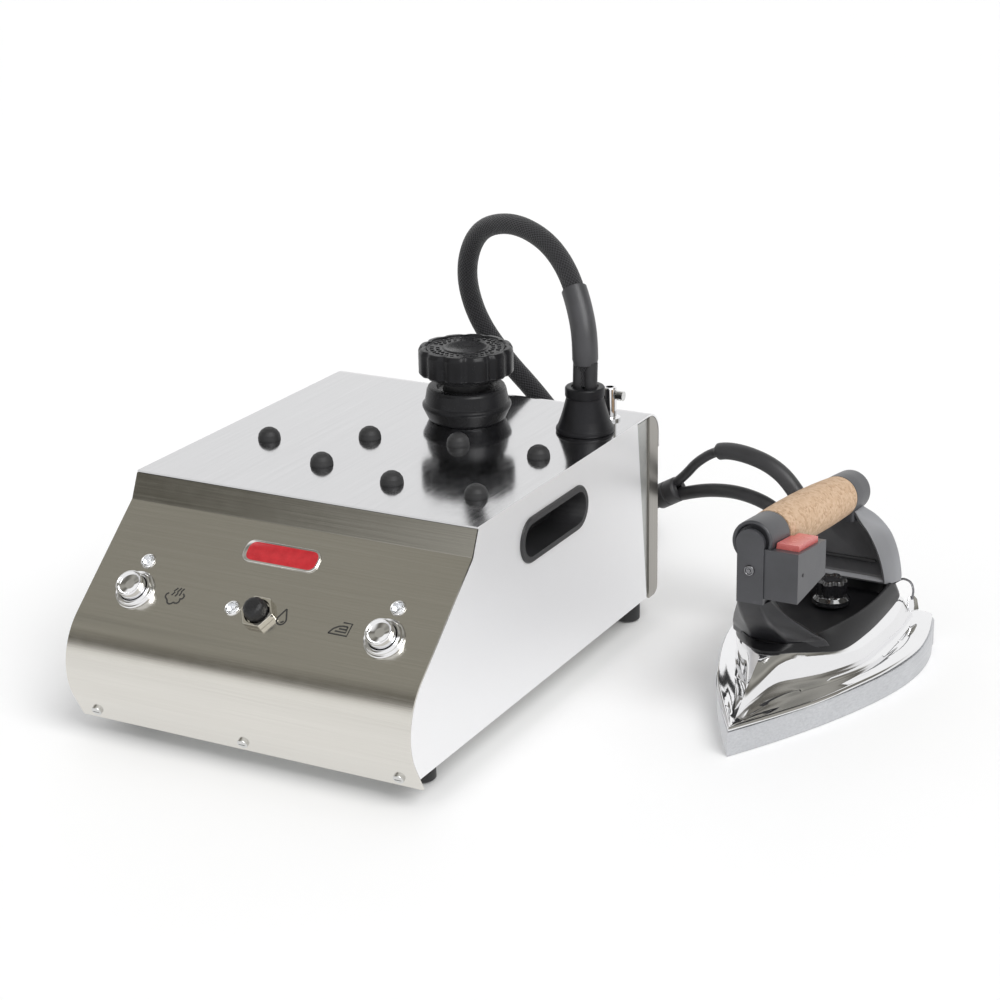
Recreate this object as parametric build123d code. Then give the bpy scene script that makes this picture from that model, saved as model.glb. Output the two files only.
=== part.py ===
from build123d import *
import math
import os

# Steam generator iron: a stainless cabinet with a pressure boiler, a steam hose and a cork-handled iron.
# Everything is laid out in the cabinet's own frame, with X across it, Y from the front edge of the
# top to the rear, and Z up from the floor. save() then moves it so that the origin is on the floor
# under the middle of the cabinet and the iron together.

# ---------------------------------------------------------------- driving dimensions, millimetres
CABINET_WIDTH = 230.0
TOP_Z = 142.0              # top of the cabinet above the floor
REAR_Y = 241.0             # rear face, measured from the front edge of the top
SHEET = 1.2                # stainless sheet
FIT = 0.1                  # room between fixed sheets
CLEAR = 0.3                # room between parts that move past each other

LIP_OUT, LIP_DROP = 7.2, 15.8        # short steep lip under the front edge of the top
SLANT_ANGLE = 40.4                   # sloping control panel, from the horizontal
SLANT_LENGTH = 77.8
NOSE_RADIUS = 40.0
NOSE_SWEEP = 78.7                    # degrees that the nose turns through
RETURN_LENGTH = 16.3                 # flat return under the nose
SIDE_BOTTOM_Z = 19.5
SIDE_REAR_TOP_Y, SIDE_REAR_BOTTOM_Y = 208.0, 222.5
REAR_BEND = 15.0
CHASSIS_Z = 20.0
FEET = ((94.0, -34.0), (98.0, 228.5))
FOOT_RADIUS = 8.6

CUP_Y, CUP_Z = 92.7, 113.4           # middle of the finger recess in each side
CUP_LENGTH, CUP_HEIGHT, CUP_DEPTH, CUP_RIM = 87.0, 28.0, 22.0, 1.4

CAP_X, CAP_Y = 13.5, 172.5           # boiler filler
CAP_RADIUS, CAP_LOBES = 30.0, 12
COLLAR_TOP_Z, NECK_TOP_Z, CAP_BASE_Z, CAP_TOP_Z = 163.5, 166.0, 171.0, 189.0
BOILER_RADIUS, BOILER_HALF, BOILER_Y, BOILER_Z = 46.0, 78.0, 168.0, 76.0

CONE_X, CONE_Y, CONE_TOP_Z = 92.0, 181.0, 170.5
SOCKET_X, SOCKET_Y = 96.0, 208.0     # holder for the hose support rod
ROD_BORE, ROD_BORE_DEPTH = 2.4, 16.0

SWITCH_X, SWITCH_S = 83.5, 57.5      # on the sloping panel: across, and down from the lip
SWITCH_TRAVEL, RESET_TRAVEL = 3.0, 1.5
LAMPS = ((-84.0, 38.0), (-16.4, 57.0), (84.0, 38.0))
RESET_X, RESET_S = 2.0, 57.5
SCREW_X = (-102.0, 0.0, 102.0)

IRON_X, IRON_TIP_Y = 237.7, 65.7     # where the sole's tip stands
SOLE_LENGTH, SOLE_WIDTH, SOLE_THICK = 218.0, 120.0, 15.0
HANDLE_FRONT = (IRON_X, 97.0, 120.2)
HANDLE_SLOPE = 7.2                   # the handle falls towards the heel
CAP_FRONT_LENGTH, CORK_LENGTH, CAP_REAR_LENGTH = 27.5, 111.6, 27.5
HANDLE_CAP_RADIUS, CORK_END_RADIUS, CORK_MID_RADIUS = 12.7, 12.9, 14.3
KNOB_U, KNOB_S, KNOB_Z, KNOB_TOP = 4.5, 152.0, 40.0, 57.0
BUTTON_TRAVEL = 2.0

HOSE_DIAMETER, HOSE_SLEEVE_DIAMETER, Y_SLEEVE_DIAMETER = 13.0, 16.0, 16.4
POWER_DIAMETER, POWER_SLEEVE_DIAMETER, STEAM_DIAMETER = 6.4, 11.0, 8.8
COIL_CENTRE, COIL_RADIUS, COIL_HEIGHT = (-30.0, 345.0), 75.0, 25.0

# The steam hose, point by point: up out of its cone, over, and down behind the cabinet to the coil.
HOSE_ROUTE = [
    (92, 181, 170.5), (92, 183, 194), (85, 190, 216), (69.5, 202.5, 238), (49, 211.5, 253),
    (20, 221.5, 258.5), (-8, 230, 249), (-22, 237, 220), (-18, 243, 188), (0, 247, 161),
    (22, 252, 137), (41, 258, 110), (48, 267, 80), (50, 280, 53), (50, 302, 23), (52, 330, 10),
]
# From the coil, up past the rear corner to the sleeve where its two leads part.
TAIL_ROUTE = [
    (-26, 270, 19.5), (6, 268, 21.5), (34, 267.5, 29), (60, 267.5, 43.5), (83, 267, 60.5), (104, 264.5, 73),
]
Y_SLEEVE = [(104.4, 264.46, 73.23), (120, 262.5, 82.4)]
POWER_ROUTE = [
    (117.9, 262.5, 86.3), (124.6, 260.8, 92.4), (134, 258.5, 104), (150, 255.5, 115), (169, 251.8, 116.5),
    (190, 248.5, 112), (204.5, 246.8, 101), (213.5, 246.3, 87),
]
STEAM_ROUTE = [
    (122.0, 262.2, 78.9), (132, 259.6, 83), (148, 256, 87.5), (166, 252.5, 89.5), (184, 249.5, 87),
    (196, 247.8, 81), (204, 247, 73),
]
SLEEVE_START, SLEEVE_END_RUN = 0.45, 2      # the sleeve covers the hose from here on run 0 to mid run 2

# The origin is under the middle of everything but the cord, on the floor.
NOSE_FRONT_Y = (-LIP_OUT - SLANT_LENGTH * math.cos(math.radians(SLANT_ANGLE))
                + NOSE_RADIUS * math.sin(math.radians(SLANT_ANGLE)) - NOSE_RADIUS)
ORIGIN_X = (IRON_X + SOLE_WIDTH / 2 - CABINET_WIDTH / 2 - CUP_RIM) / 2
ORIGIN_Y = (IRON_TIP_Y + SOLE_LENGTH + NOSE_FRONT_Y) / 2

os.makedirs("parts", exist_ok=True)
BASE = (Align.CENTER, Align.CENTER, Align.MIN)


# ---------------------------------------------------------------- helpers
def save(name, *pieces):
    """Write one node, moved from the cabinet's frame to the part's frame."""
    solids = [solid for piece in pieces for solid in piece.solids()]
    node = solids[0] if len(solids) == 1 else Compound(solids)
    export_step(node.moved(Location((-ORIGIN_X, -ORIGIN_Y, 0))), f"parts/{name}.step")


def block(x, y, z):
    """Box from three (low, high) pairs."""
    size = [high - low for low, high in (x, y, z)]
    return Pos(x[0], y[0], z[0]) * Box(*size, align=(Align.MIN,) * 3)


def post(radius, low, high, x=0.0, y=0.0):
    """Upright cylinder."""
    return Pos(x, y, low) * Cylinder(radius, high - low, align=BASE)


def rod(start, end, radius):
    """Cylinder between two points."""
    along = Vector(*end) - Vector(*start)
    return extrude(Plane(origin=start, z_dir=along) * Circle(radius), along.length)


def polygon(points):
    return make_face(Polyline(*points, close=True))


def lathe(points, place=None):
    """Turn a closed (radius, height) outline about its own upright axis."""
    turned = revolve(Plane.XZ * polygon(points), Axis.Z)
    return turned if place is None else place * turned


def side_extrude(face, low, high):
    """Extrude a face drawn in (y, z) from x = low to x = high."""
    return Pos(low, 0, 0) * extrude(Plane.YZ * face, high - low)


def both_sides(piece):
    return [piece, mirror(piece, Plane.YZ)]


def tube(name, points, diameter):
    """Round tube along straight runs joined by the largest tangent arcs that they allow."""
    corners = [Vector(*point) for point in points]
    runs = [b - a for a, b in zip(corners, corners[1:])]
    radii = [
        0.45 * min(a.length, b.length) / math.tan(math.radians(a.get_angle(b) / 2))
        for a, b in zip(runs, runs[1:])
    ]
    path = FilletPolyline(*points, radius=radii)
    solid = sweep(Plane(origin=path @ 0, z_dir=path % 0) * Circle(diameter / 2), path=path)
    ideal = math.pi * diameter**2 / 4 * path.length
    print(name, "length", round(path.length, 1), "radii", [round(radius) for radius in radii],
          "volume ratio", round(solid.volume / ideal, 4))
    return solid


# ---------------------------------------------------------------- front profile, drawn in (y, z)
def turned(vector):
    """Inward normal of a direction that runs down the front of the cabinet."""
    return Vector(-vector.Y, vector.X)


SLANT = math.radians(SLANT_ANGLE)
EDGE_TOP = Vector(0, TOP_Z)
LIP_END = Vector(-LIP_OUT, TOP_Z - LIP_DROP)
LIP_DIRECTION = (LIP_END - EDGE_TOP).normalized()
SLANT_DIRECTION = Vector(-math.cos(SLANT), -math.sin(SLANT))
SLANT_END = LIP_END + SLANT_DIRECTION * SLANT_LENGTH
NOSE_CENTRE = SLANT_END + turned(SLANT_DIRECTION) * NOSE_RADIUS
NOSE_START_ANGLE = 90 + SLANT_ANGLE
NOSE_END_ANGLE = NOSE_START_ANGLE + NOSE_SWEEP
RETURN_DIRECTION = Vector(-math.sin(math.radians(NOSE_END_ANGLE)), math.cos(math.radians(NOSE_END_ANGLE)))


def on_nose(angle, inset=0.0):
    turn = math.radians(angle)
    return NOSE_CENTRE + Vector(math.cos(turn), math.sin(turn)) * (NOSE_RADIUS - inset)


def front_points(inset):
    """Corners of the front profile, moved inwards by inset."""
    lip, slant = turned(LIP_DIRECTION), turned(SLANT_DIRECTION)
    shared = (lip + slant) * (inset / (1 + lip.dot(slant)))
    nose_end = on_nose(NOSE_END_ANGLE, inset)
    return [EDGE_TOP + lip * inset, LIP_END + shared, SLANT_END + slant * inset,
            nose_end, nose_end + RETURN_DIRECTION * RETURN_LENGTH]


def front_edges(inset):
    top, lip, slant, nose, end = front_points(inset)
    middle = on_nose(NOSE_START_ANGLE + NOSE_SWEEP / 2, inset)
    return [Line(top, lip), Line(lip, slant), ThreePointArc(slant, middle, nose), Line(nose, end)]


PANEL = Plane(origin=(0, LIP_END.X, LIP_END.Y), x_dir=(1, 0, 0), z_dir=(0, -math.sin(SLANT), math.cos(SLANT)))


def on_panel(across, down, height=0.0):
    """Place on the sloping panel, with local Z pointing out of it."""
    return PANEL * Pos(across, -down, height)


def return_screw_place(x):
    """Place on the return under the nose, with local Z pointing out of it."""
    middle = front_points(0)[3] + RETURN_DIRECTION * (0.55 * RETURN_LENGTH)
    outward = turned(RETURN_DIRECTION) * -1
    return Plane(origin=(x, middle.X, middle.Y), x_dir=(1, 0, 0), z_dir=(0, outward.X, outward.Y))


def pad_places():
    """Seven pads in the outline of a sole: one at the tip, then pairs that spread."""
    for column, spread in enumerate((0.0, 27.8, 39.6, 39.0)):
        for side in ((-1, 1) if spread else (0,)):
            yield -76.5 + 55.4 * column, 83.5 + side * spread


# ---------------------------------------------------------------- cabinet
HALF = CABINET_WIDTH / 2


def cup_slot(length, height):
    return Pos(CUP_Y, CUP_Z) * SlotOverall(length, height)


def make_cover():
    """Polished sheet: top, two sides and the bend over the rear edge."""
    inner_z, lip_low = TOP_Z - SHEET, TOP_Z - REAR_BEND - 10
    bend_y, bend_z = REAR_Y - REAR_BEND, TOP_Z - REAR_BEND
    inner_bend = REAR_BEND - SHEET
    slope = math.sqrt(0.5)
    outer = [Line((0, TOP_Z), (bend_y, TOP_Z)),
             ThreePointArc((bend_y, TOP_Z), (bend_y + REAR_BEND * slope, bend_z + REAR_BEND * slope),
                           (REAR_Y, bend_z)),
             Line((REAR_Y, bend_z), (REAR_Y, lip_low)), Line((REAR_Y, lip_low), (REAR_Y - SHEET, lip_low))]
    inner = [Line((REAR_Y - SHEET, lip_low), (REAR_Y - SHEET, bend_z)),
             ThreePointArc((REAR_Y - SHEET, bend_z), (bend_y + inner_bend * slope, bend_z + inner_bend * slope),
                           (bend_y, inner_z)),
             Line((bend_y, inner_z), (0, inner_z)), Line((0, inner_z), (0, TOP_Z))]
    top = side_extrude(make_face(outer + inner), -HALF, HALF)

    inset = SHEET + FIT
    first, last = front_points(inset)[0], front_points(inset)[-1]
    behind = make_face(front_edges(inset) + [Line(last, (240, last.Y)), Line((240, last.Y), (240, first.Y)),
                                             Line((240, first.Y), first)])
    trim = polygon([(-110, SIDE_BOTTOM_Z), (SIDE_REAR_BOTTOM_Y, SIDE_BOTTOM_Z), (SIDE_REAR_TOP_Y, TOP_Z),
                    (-110, TOP_Z)])
    side_face = (behind & trim) - cup_slot(CUP_LENGTH - 3.6, CUP_HEIGHT - 3.6)
    cover = top
    for side in both_sides(side_extrude(side_face, HALF - SHEET, HALF)):
        cover += side
    cover -= post(16, TOP_Z - 5, TOP_Z + 1, CAP_X, CAP_Y)
    cover -= post(8, TOP_Z - 5, TOP_Z + 1, CONE_X, CONE_Y)
    cover -= post(3.2, TOP_Z - 5, TOP_Z + 1, SOCKET_X, SOCKET_Y)
    for x, y in pad_places():
        cover -= post(2.6, TOP_Z - 5, TOP_Z + 1, x, y)
    for x in SCREW_X:
        cover -= rod((x, REAR_Y - 3, lip_low + 5), (x, REAR_Y + 1, lip_low + 5), 1.7)
    return cover


def make_front_panel():
    """Brushed sheet: lip, slope, nose and return, with the holes for the controls."""
    outer, inner = front_edges(0), front_edges(SHEET)
    ends = [Line(front_points(0)[0], front_points(SHEET)[0]), Line(front_points(0)[-1], front_points(SHEET)[-1])]
    panel = side_extrude(make_face(outer + inner + ends), -HALF, HALF)
    panel -= block((-HALF - 1, HALF + 1), (-30, 20), (TOP_Z - SHEET - FIT, TOP_Z + 5))
    hole = Cylinder(10.0, 10)
    for side in (-1, 1):
        panel -= on_panel(side * SWITCH_X, SWITCH_S) * hole
    panel -= on_panel(RESET_X, RESET_S) * Cylinder(7.0, 10)
    for x, s in LAMPS:
        panel -= on_panel(x, s) * Cylinder(3.2, 10)
    for x in SCREW_X:
        panel -= return_screw_place(x) * Cylinder(1.7, 8)
    return panel


def rear_outline(inset, front_y):
    """Rear pan in (y, z): rounded at its rear top and rear bottom corners."""
    low, high, back = 17.6 + inset, TOP_Z - SHEET - 2 * FIT - inset, REAR_Y - SHEET - 2 * FIT - inset
    top, bottom, slope = REAR_BEND - SHEET - 2 * FIT - inset, 6.0 - inset, math.sqrt(0.5)
    return make_face([
        Line((front_y, low), (back - bottom, low)),
        ThreePointArc((back - bottom, low), (back - bottom + bottom * slope, low + bottom - bottom * slope),
                      (back, low + bottom)),
        Line((back, low + bottom), (back, high - top)),
        ThreePointArc((back, high - top), (back - top + top * slope, high - top + top * slope),
                      (back - top, high)),
        Line((back - top, high), (front_y, high)), Line((front_y, high), (front_y, low))])


REAR_FACE_Y = REAR_Y - SHEET - 2 * FIT
GLAND_X, GLAND_Z = -86.0, 42.0


def make_rear_panel():
    """Brushed pan that closes the rear, with vents and the hole for the mains lead's gland."""
    wide = HALF - 2 * FIT
    panel = side_extrude(rear_outline(0, 226.6), -wide, wide)
    panel -= side_extrude(rear_outline(SHEET, 220), -wide + SHEET, wide - SHEET)
    for row in range(5):
        slot = Plane(origin=(-30, REAR_FACE_Y, 40 + 9 * row), x_dir=(1, 0, 0), z_dir=(0, 1, 0))
        panel -= slot * extrude(SlotOverall(60, 3.6), 6, both=True)
    panel -= rod((GLAND_X, REAR_FACE_Y - 6, GLAND_Z), (GLAND_X, REAR_FACE_Y + 6, GLAND_Z), 8.2)
    for x, y in foot_places():
        panel -= post(FOOT_RADIUS + 0.3, 10, CHASSIS_Z + 1, x, y)
    for x in SCREW_X:
        for z in (30.0, TOP_Z - REAR_BEND - 5):
            panel -= rod((x, REAR_FACE_Y - 5, z), (x, REAR_FACE_Y + 5, z), 1.7)
    return panel


def make_chassis():
    """Folded base that carries the boiler, the feet and both outer sheets."""
    wide = HALF - 2 * FIT - SHEET - FIT
    base = block((-wide, wide), (-70, 238.2), (CHASSIS_Z, CHASSIS_Z + SHEET))
    base += block((-wide, wide), (238.2 - SHEET, 238.2), (CHASSIS_Z, 64))
    for side in both_sides(block((wide - SHEET, wide), (192, 238.2), (CHASSIS_Z, 139.2))):
        base += side
    base &= side_extrude(rear_outline(SHEET + FIT, -100), -HALF, HALF)
    near, far = front_points(SHEET + FIT), front_points(2 * SHEET + FIT)
    flange = polygon([near[3], near[4], far[4], far[3]])
    base += side_extrude(flange, -wide, wide)
    for x in SCREW_X:
        base -= return_screw_place(x) * Cylinder(1.7, 16)
        base -= rod((x, 232, 30), (x, 242, 30), 1.7)
    base -= rod((GLAND_X, 232, GLAND_Z), (GLAND_X, 242, GLAND_Z), 8.2)
    for row in range(5):
        slot = Plane(origin=(-30, REAR_FACE_Y, 40 + 9 * row), x_dir=(1, 0, 0), z_dir=(0, 1, 0))
        base -= slot * extrude(SlotOverall(60, 3.6), 6, both=True)
    for x, y in foot_places():
        base -= post(2.4, CHASSIS_Z - 2, CHASSIS_Z + 3, x, y)
    return base


def make_handle_cup():
    """Finger recess of the right side: rim, tub and the hollow in it."""
    rim = side_extrude(cup_slot(CUP_LENGTH, CUP_HEIGHT), HALF, HALF + CUP_RIM)
    rim = chamfer(rim.edges().group_by(Axis.X)[-1], 0.8)
    tub = side_extrude(cup_slot(CUP_LENGTH - 4.4, CUP_HEIGHT - 4.4), HALF - CUP_DEPTH, HALF)
    hollow = side_extrude(cup_slot(CUP_LENGTH - 8, CUP_HEIGHT - 8), HALF - CUP_DEPTH + 1.6, HALF + 5)
    return rim + tub - hollow


def make_rest_pads():
    outline = [(0, TOP_Z + FIT / 2), (7.0, TOP_Z + FIT / 2)]
    outline += [(7.0 * math.cos(math.radians(a)), TOP_Z + 1 + 6.6 * math.sin(math.radians(a)))
                for a in (0, 22, 44, 66, 90)]
    dome = lathe(outline)
    pad = dome + post(2.4, TOP_Z - 6, TOP_Z + 1) + post(3.2, TOP_Z - 6, TOP_Z - SHEET - 0.4)
    return [Pos(x, y, 0) * pad for x, y in pad_places()]


def foot_places():
    for x, y in FEET:
        yield -x, y
        yield x, y


def make_feet():
    foot = lathe([(3.6, 0), (FOOT_RADIUS - 1, 0), (FOOT_RADIUS, 1), (FOOT_RADIUS, CHASSIS_Z), (2.2, CHASSIS_Z),
                  (2.2, 8), (3.6, 8)])
    screw = post(1.9, 9, CHASSIS_Z + 6) + post(3.3, 5.5, 7.8) + post(1.9, 7, 10)
    return [Pos(x, y, 0) * foot for x, y in foot_places()], [Pos(x, y, 0) * screw for x, y in foot_places()]


def screw(head_radius=3.3, head=1.8, shank=7.0):
    """Pan-head screw that points down local Z, seated at local zero."""
    body = Pos(0, 0, 0.02) * Cylinder(head_radius, head, align=BASE)
    body = fillet(body.edges().group_by(Axis.Z)[-1], 0.8)
    body += Pos(0, 0, -shank) * Cylinder(1.5, shank + 1, align=BASE)
    return body - Pos(0, 0, head) * Box(head_radius * 1.3, 0.7, 1.2)


def cabinet_screws():
    pieces = [return_screw_place(x) * screw() for x in SCREW_X]
    for x in SCREW_X:
        for z, seat in ((30.0, REAR_FACE_Y), (TOP_Z - REAR_BEND - 5, REAR_Y)):
            pieces.append(Plane(origin=(x, seat, z), x_dir=(1, 0, 0), z_dir=(0, 1, 0)) * screw())
    return pieces


# ---------------------------------------------------------------- controls on the sloping panel
def make_bezel():
    ring = lathe([(8.7, -12), (9.8, -12), (9.8, FIT), (12.3, FIT), (12.3, 1.6), (10.9, 3.2), (8.7, 3.2)])
    nut = lathe([(9.9, -SHEET - 3.6), (12.6, -SHEET - 3.6), (12.6, -SHEET - FIT), (9.9, -SHEET - FIT)])
    return [ring, nut]


def make_switch_button():
    return lathe([(0, -9), (8.3, -9), (8.3, 8.4), (7.5, 9.4), (6.4, 9.4), (5.6, 8.9), (0, 8.9)])


def make_lamp():
    lens = lathe([(0, 0.1), (3.5, 0.1), (3.5, 1.0), (2.9, 2.1), (1.6, 2.8), (0, 3.0)])
    lens += Pos(0, 0, -10) * Cylinder(3.0, 10.5, align=BASE)
    ring = lathe([(3.6, 0.1), (4.6, 0.1), (4.3, 1.0), (3.6, 1.2)])
    return [lens, ring]


def make_reset_nut():
    nut = Pos(0, 0, FIT) * extrude(RegularPolygon(9.0, 6, major_radius=False), 4.0)
    nut += Pos(0, 0, -9) * Cylinder(6.8, 10, align=BASE)
    nut -= Pos(0, 0, -2) * Cylinder(7.4 + CLEAR, 12, align=BASE) & Pos(0, 0, FIT + 1.2) * Cylinder(20, 12, align=BASE)
    return nut - Pos(0, 0, -12) * Cylinder(5.6, 20, align=BASE)


def make_reset_boot():
    floor = FIT + 1.2 + RESET_TRAVEL + CLEAR
    return lathe([(0, floor - 5), (5.2, floor - 5), (5.2, floor), (7.4, floor), (7.4, 8.2), (6.6, 10.4),
                  (4.4, 12.0), (2.0, 12.6), (0, 12.7)])


def switch_bodies():
    box = Pos(0, 0, -12.6 - 22) * Box(20, 20, 22, align=BASE)
    pins = [Pos(x, 0, -12.6 - 28) * Box(1, 5, 7, align=BASE) for x in (-5, 5)]
    switch = box + pins[0] + pins[1]
    breaker = Pos(0, 0, -32) * Cylinder(8.5, 22.5, align=BASE)
    return [on_panel(side * SWITCH_X, SWITCH_S) * switch for side in (-1, 1)] + [on_panel(RESET_X, RESET_S) * breaker]


# ---------------------------------------------------------------- boiler, its cap and its fittings
AT_CAP = Pos(CAP_X, CAP_Y, 0)


def make_boiler():
    """Horizontal pressure vessel with rounded ends and a wall of 2 mm."""
    def vessel(shrink):
        radius, half = BOILER_RADIUS - shrink, BOILER_HALF - shrink
        body = Cylinder(radius, 2 * half)
        return fillet(body.edges().filter_by(GeomType.CIRCLE), 16 - shrink)
    place = Pos(0, BOILER_Y, BOILER_Z) * Rot(0, 90, 0)
    shell = place * (vessel(0) - vessel(2))
    shell -= post(14.7, BOILER_Z, TOP_Z, CAP_X, CAP_Y)
    shell -= rod((BOILER_HALF - 6, BOILER_Y, BOILER_Z - 14), (BOILER_HALF + 6, BOILER_Y, BOILER_Z - 14), 16.2)
    return shell


def make_heating_element():
    """Screwed flange on the right end with a U of sheathed tube inside the water."""
    x, z = BOILER_HALF, BOILER_Z - 14
    flange = rod((x - 4, BOILER_Y, z), (x + 8, BOILER_Y, z), 16)
    flange += rod((x + 0.1, BOILER_Y, z), (x + 5, BOILER_Y, z), 22)
    leg_y = 9.0
    bend = Pos(-40, BOILER_Y, z) * (Torus(leg_y, 4) & Pos(-25, 0, 0) * Box(50, 60, 20))
    legs = rod((-40, BOILER_Y - leg_y, z), (x - 3, BOILER_Y - leg_y, z), 4)
    legs += rod((-40, BOILER_Y + leg_y, z), (x - 3, BOILER_Y + leg_y, z), 4)
    return flange + legs + bend


def make_boiler_brackets():
    pieces = []
    for x in (-52, 52):
        saddle = block((x - 8, x + 8), (BOILER_Y - 34, BOILER_Y + 34), (CHASSIS_Z + SHEET, 56))
        saddle -= rod((x - 20, BOILER_Y, BOILER_Z), (x + 20, BOILER_Y, BOILER_Z), BOILER_RADIUS + 0.05)
        pieces.append(saddle)
    return pieces


def make_filler_neck():
    neck = lathe([(10.4, 120), (14.5, 120), (14.5, NECK_TOP_Z), (10.4, NECK_TOP_Z)], AT_CAP)
    return neck


def make_collar():
    """Double cone of black plastic round the filler neck."""
    low = TOP_Z + FIT / 2
    return lathe([(14.7, low), (23.5, low), (24.2, low + 1.5), (28, 150.4), (28, 152), (27.2, 153.2),
                  (24.6, 162.5), (23.8, COLLAR_TOP_Z), (14.7, COLLAR_TOP_Z)], AT_CAP)


def make_cap():
    """Lobed knob, its brass plug, the gasket and the core of the safety valve."""
    base = NECK_TOP_Z + 1.5 + CLEAR
    knob = Pos(0, 0, CAP_BASE_Z) * Cylinder(CAP_RADIUS, CAP_TOP_Z - CAP_BASE_Z, align=BASE)
    knob = fillet(knob.edges().group_by(Axis.Z)[-1], 2.6)
    for lobe in range(CAP_LOBES):
        angle = math.radians(360 / CAP_LOBES * lobe)
        reach = CAP_RADIUS + 5.0
        knob -= post(6.4, CAP_BASE_Z - 1, CAP_TOP_Z + 1, reach * math.cos(angle), reach * math.sin(angle))
    knob += post(19.5, base, CAP_BASE_Z)
    knob -= post(9.8, base - 1, 178)
    knob -= post(3.3, 170, 184)
    plug = lathe([(3.3, 150), (8.6, 150), (9.8, 152), (9.8, 178), (3.3, 178)])
    gasket = lathe([(10.6, NECK_TOP_Z + 0.05), (16, NECK_TOP_Z + 0.05), (16, NECK_TOP_Z + 1.5), (10.6, NECK_TOP_Z + 1.5)])
    core = post(2.9, 147, 179) + post(2.0, 178, 181)
    return AT_CAP * knob, AT_CAP * plug, AT_CAP * gasket, AT_CAP * core


def make_cone():
    low = TOP_Z + FIT / 2
    return lathe([(6.8, low), (18, low), (18, low + 2.4), (17.2, low + 3.4), (11.4, 164.5), (11.4, CONE_TOP_Z - 0.6),
                  (10.8, CONE_TOP_Z), (0, CONE_TOP_Z), (0, 160), (6.8, 160)], Pos(CONE_X, CONE_Y, 0))


def make_rod_socket():
    low, top = TOP_Z + FIT / 2, TOP_Z + 21
    socket = lathe([(ROD_BORE, top - ROD_BORE_DEPTH), (ROD_BORE, top), (3.9, top), (4.3, top - 0.6), (4.3, low + 2),
                    (6.6, low + 1.4), (6.6, low), (3.0, low), (3.0, TOP_Z - 8), (0, TOP_Z - 8),
                    (0, top - ROD_BORE_DEPTH)], Pos(SOCKET_X, SOCKET_Y, 0))
    start, seat = (SOCKET_X + 3.0, SOCKET_Y, top - 5), (SOCKET_X + 9.5, SOCKET_Y, top - 5)
    socket -= rod((SOCKET_X, SOCKET_Y, top - 5), seat, 1.3)
    clamp = rod(start, seat, 1.2) + rod((SOCKET_X + 4.8, SOCKET_Y, top - 5), seat, 3.0)
    return socket, clamp


VALVE_X, VALVE_Y, VALVE_Z = 98.0, 184.0, 92.0


def make_steam_parts():
    """Solenoid valve beside the boiler, and the pipe from it up into the hose cone."""
    body = block((VALVE_X - 11, VALVE_X + 11), (VALVE_Y - 10, VALVE_Y + 10), (VALVE_Z - 10, VALVE_Z + 8))
    body += rod((82, VALVE_Y, VALVE_Z), (VALVE_X, VALVE_Y, VALVE_Z), 4.5)
    coil = block((VALVE_X - 11, VALVE_X + 12), (VALVE_Y + 10.2, VALVE_Y + 38), (VALVE_Z - 13, VALVE_Z + 13))
    return body, coil, post(4.0, VALVE_Z + 8.05, 158, CONE_X, CONE_Y)


def boiler_sensors():
    """Pressure switch on the left end and the cut-out thermostat on the front of the boiler."""
    switch = rod((-BOILER_HALF - 0.1, BOILER_Y, BOILER_Z + 10), (-BOILER_HALF - 10, BOILER_Y, BOILER_Z + 10), 5)
    switch += rod((-BOILER_HALF - 8, BOILER_Y, BOILER_Z + 10), (-BOILER_HALF - 26, BOILER_Y, BOILER_Z + 10), 15)
    thermostat = rod((-30, BOILER_Y - BOILER_RADIUS - 0.1, BOILER_Z), (-30, BOILER_Y - BOILER_RADIUS - 9, BOILER_Z), 9)
    return [switch, thermostat]


def control_board():
    z = CHASSIS_Z + SHEET
    board = block((-50, 40), (20, 80), (z + 8, z + 9.6))
    stand = [post(2.5, z, z + 8, x, y) for x in (-45, 35) for y in (25, 75)]
    relays = [block((x, x + 16), (40, 60), (z + 9.6, z + 24)) for x in (-40, -14, 12)]
    terminals = block((60, 96), (30, 52), (z, z + 16))
    for way in range(3):
        terminals -= post(2.4, z + 6, z + 20, 67 + 11 * way, 41)
    return [board, *stand, *relays, terminals]


def make_gland():
    outside = REAR_FACE_Y + 0.05
    gland = rod((GLAND_X, REAR_FACE_Y - 14, GLAND_Z), (GLAND_X, outside + 2, GLAND_Z), 8.0)
    gland += rod((GLAND_X, outside, GLAND_Z), (GLAND_X, outside + 5, GLAND_Z), 11.5)
    gland += rod((GLAND_X, outside + 5, GLAND_Z), (GLAND_X, outside + 13, GLAND_Z), 9.2)
    return gland - rod((GLAND_X, REAR_FACE_Y - 20, GLAND_Z), (GLAND_X, outside + 20, GLAND_Z), 3.8)


# ---------------------------------------------------------------- iron, drawn in (u, s) from the sole's tip
BOAT = ((0.0, 0.0), (0.138, 0.284), (0.404, 0.725), (0.71, 0.997), (0.94, 0.885))


def boat(length, width, tip, z):
    """Outline of the sole: pointed tip, widest at two thirds, rounded heel corners."""
    right = [(IRON_X + width / 2 * w, IRON_TIP_Y + tip + length * t) for t, w in BOAT]
    left = [(2 * IRON_X - x, y) for x, y in right]
    heel_y = IRON_TIP_Y + tip + length
    corner, heel = 0.835, 0.74
    edges = [Spline(*right), Spline(*left)]
    ends = []
    for mirror_sign, points in ((1, right), (-1, left)):
        middle = (IRON_X + mirror_sign * width / 2 * corner, IRON_TIP_Y + tip + length * 0.982)
        end = (IRON_X + mirror_sign * width / 2 * heel, heel_y)
        edges.append(ThreePointArc(points[-1], middle, end))
        ends.append(end)
    edges.append(Line(*ends))
    return Plane.XY.offset(z) * make_face(edges)


def at_iron(u, s):
    return IRON_X + u, IRON_TIP_Y + s


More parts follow.
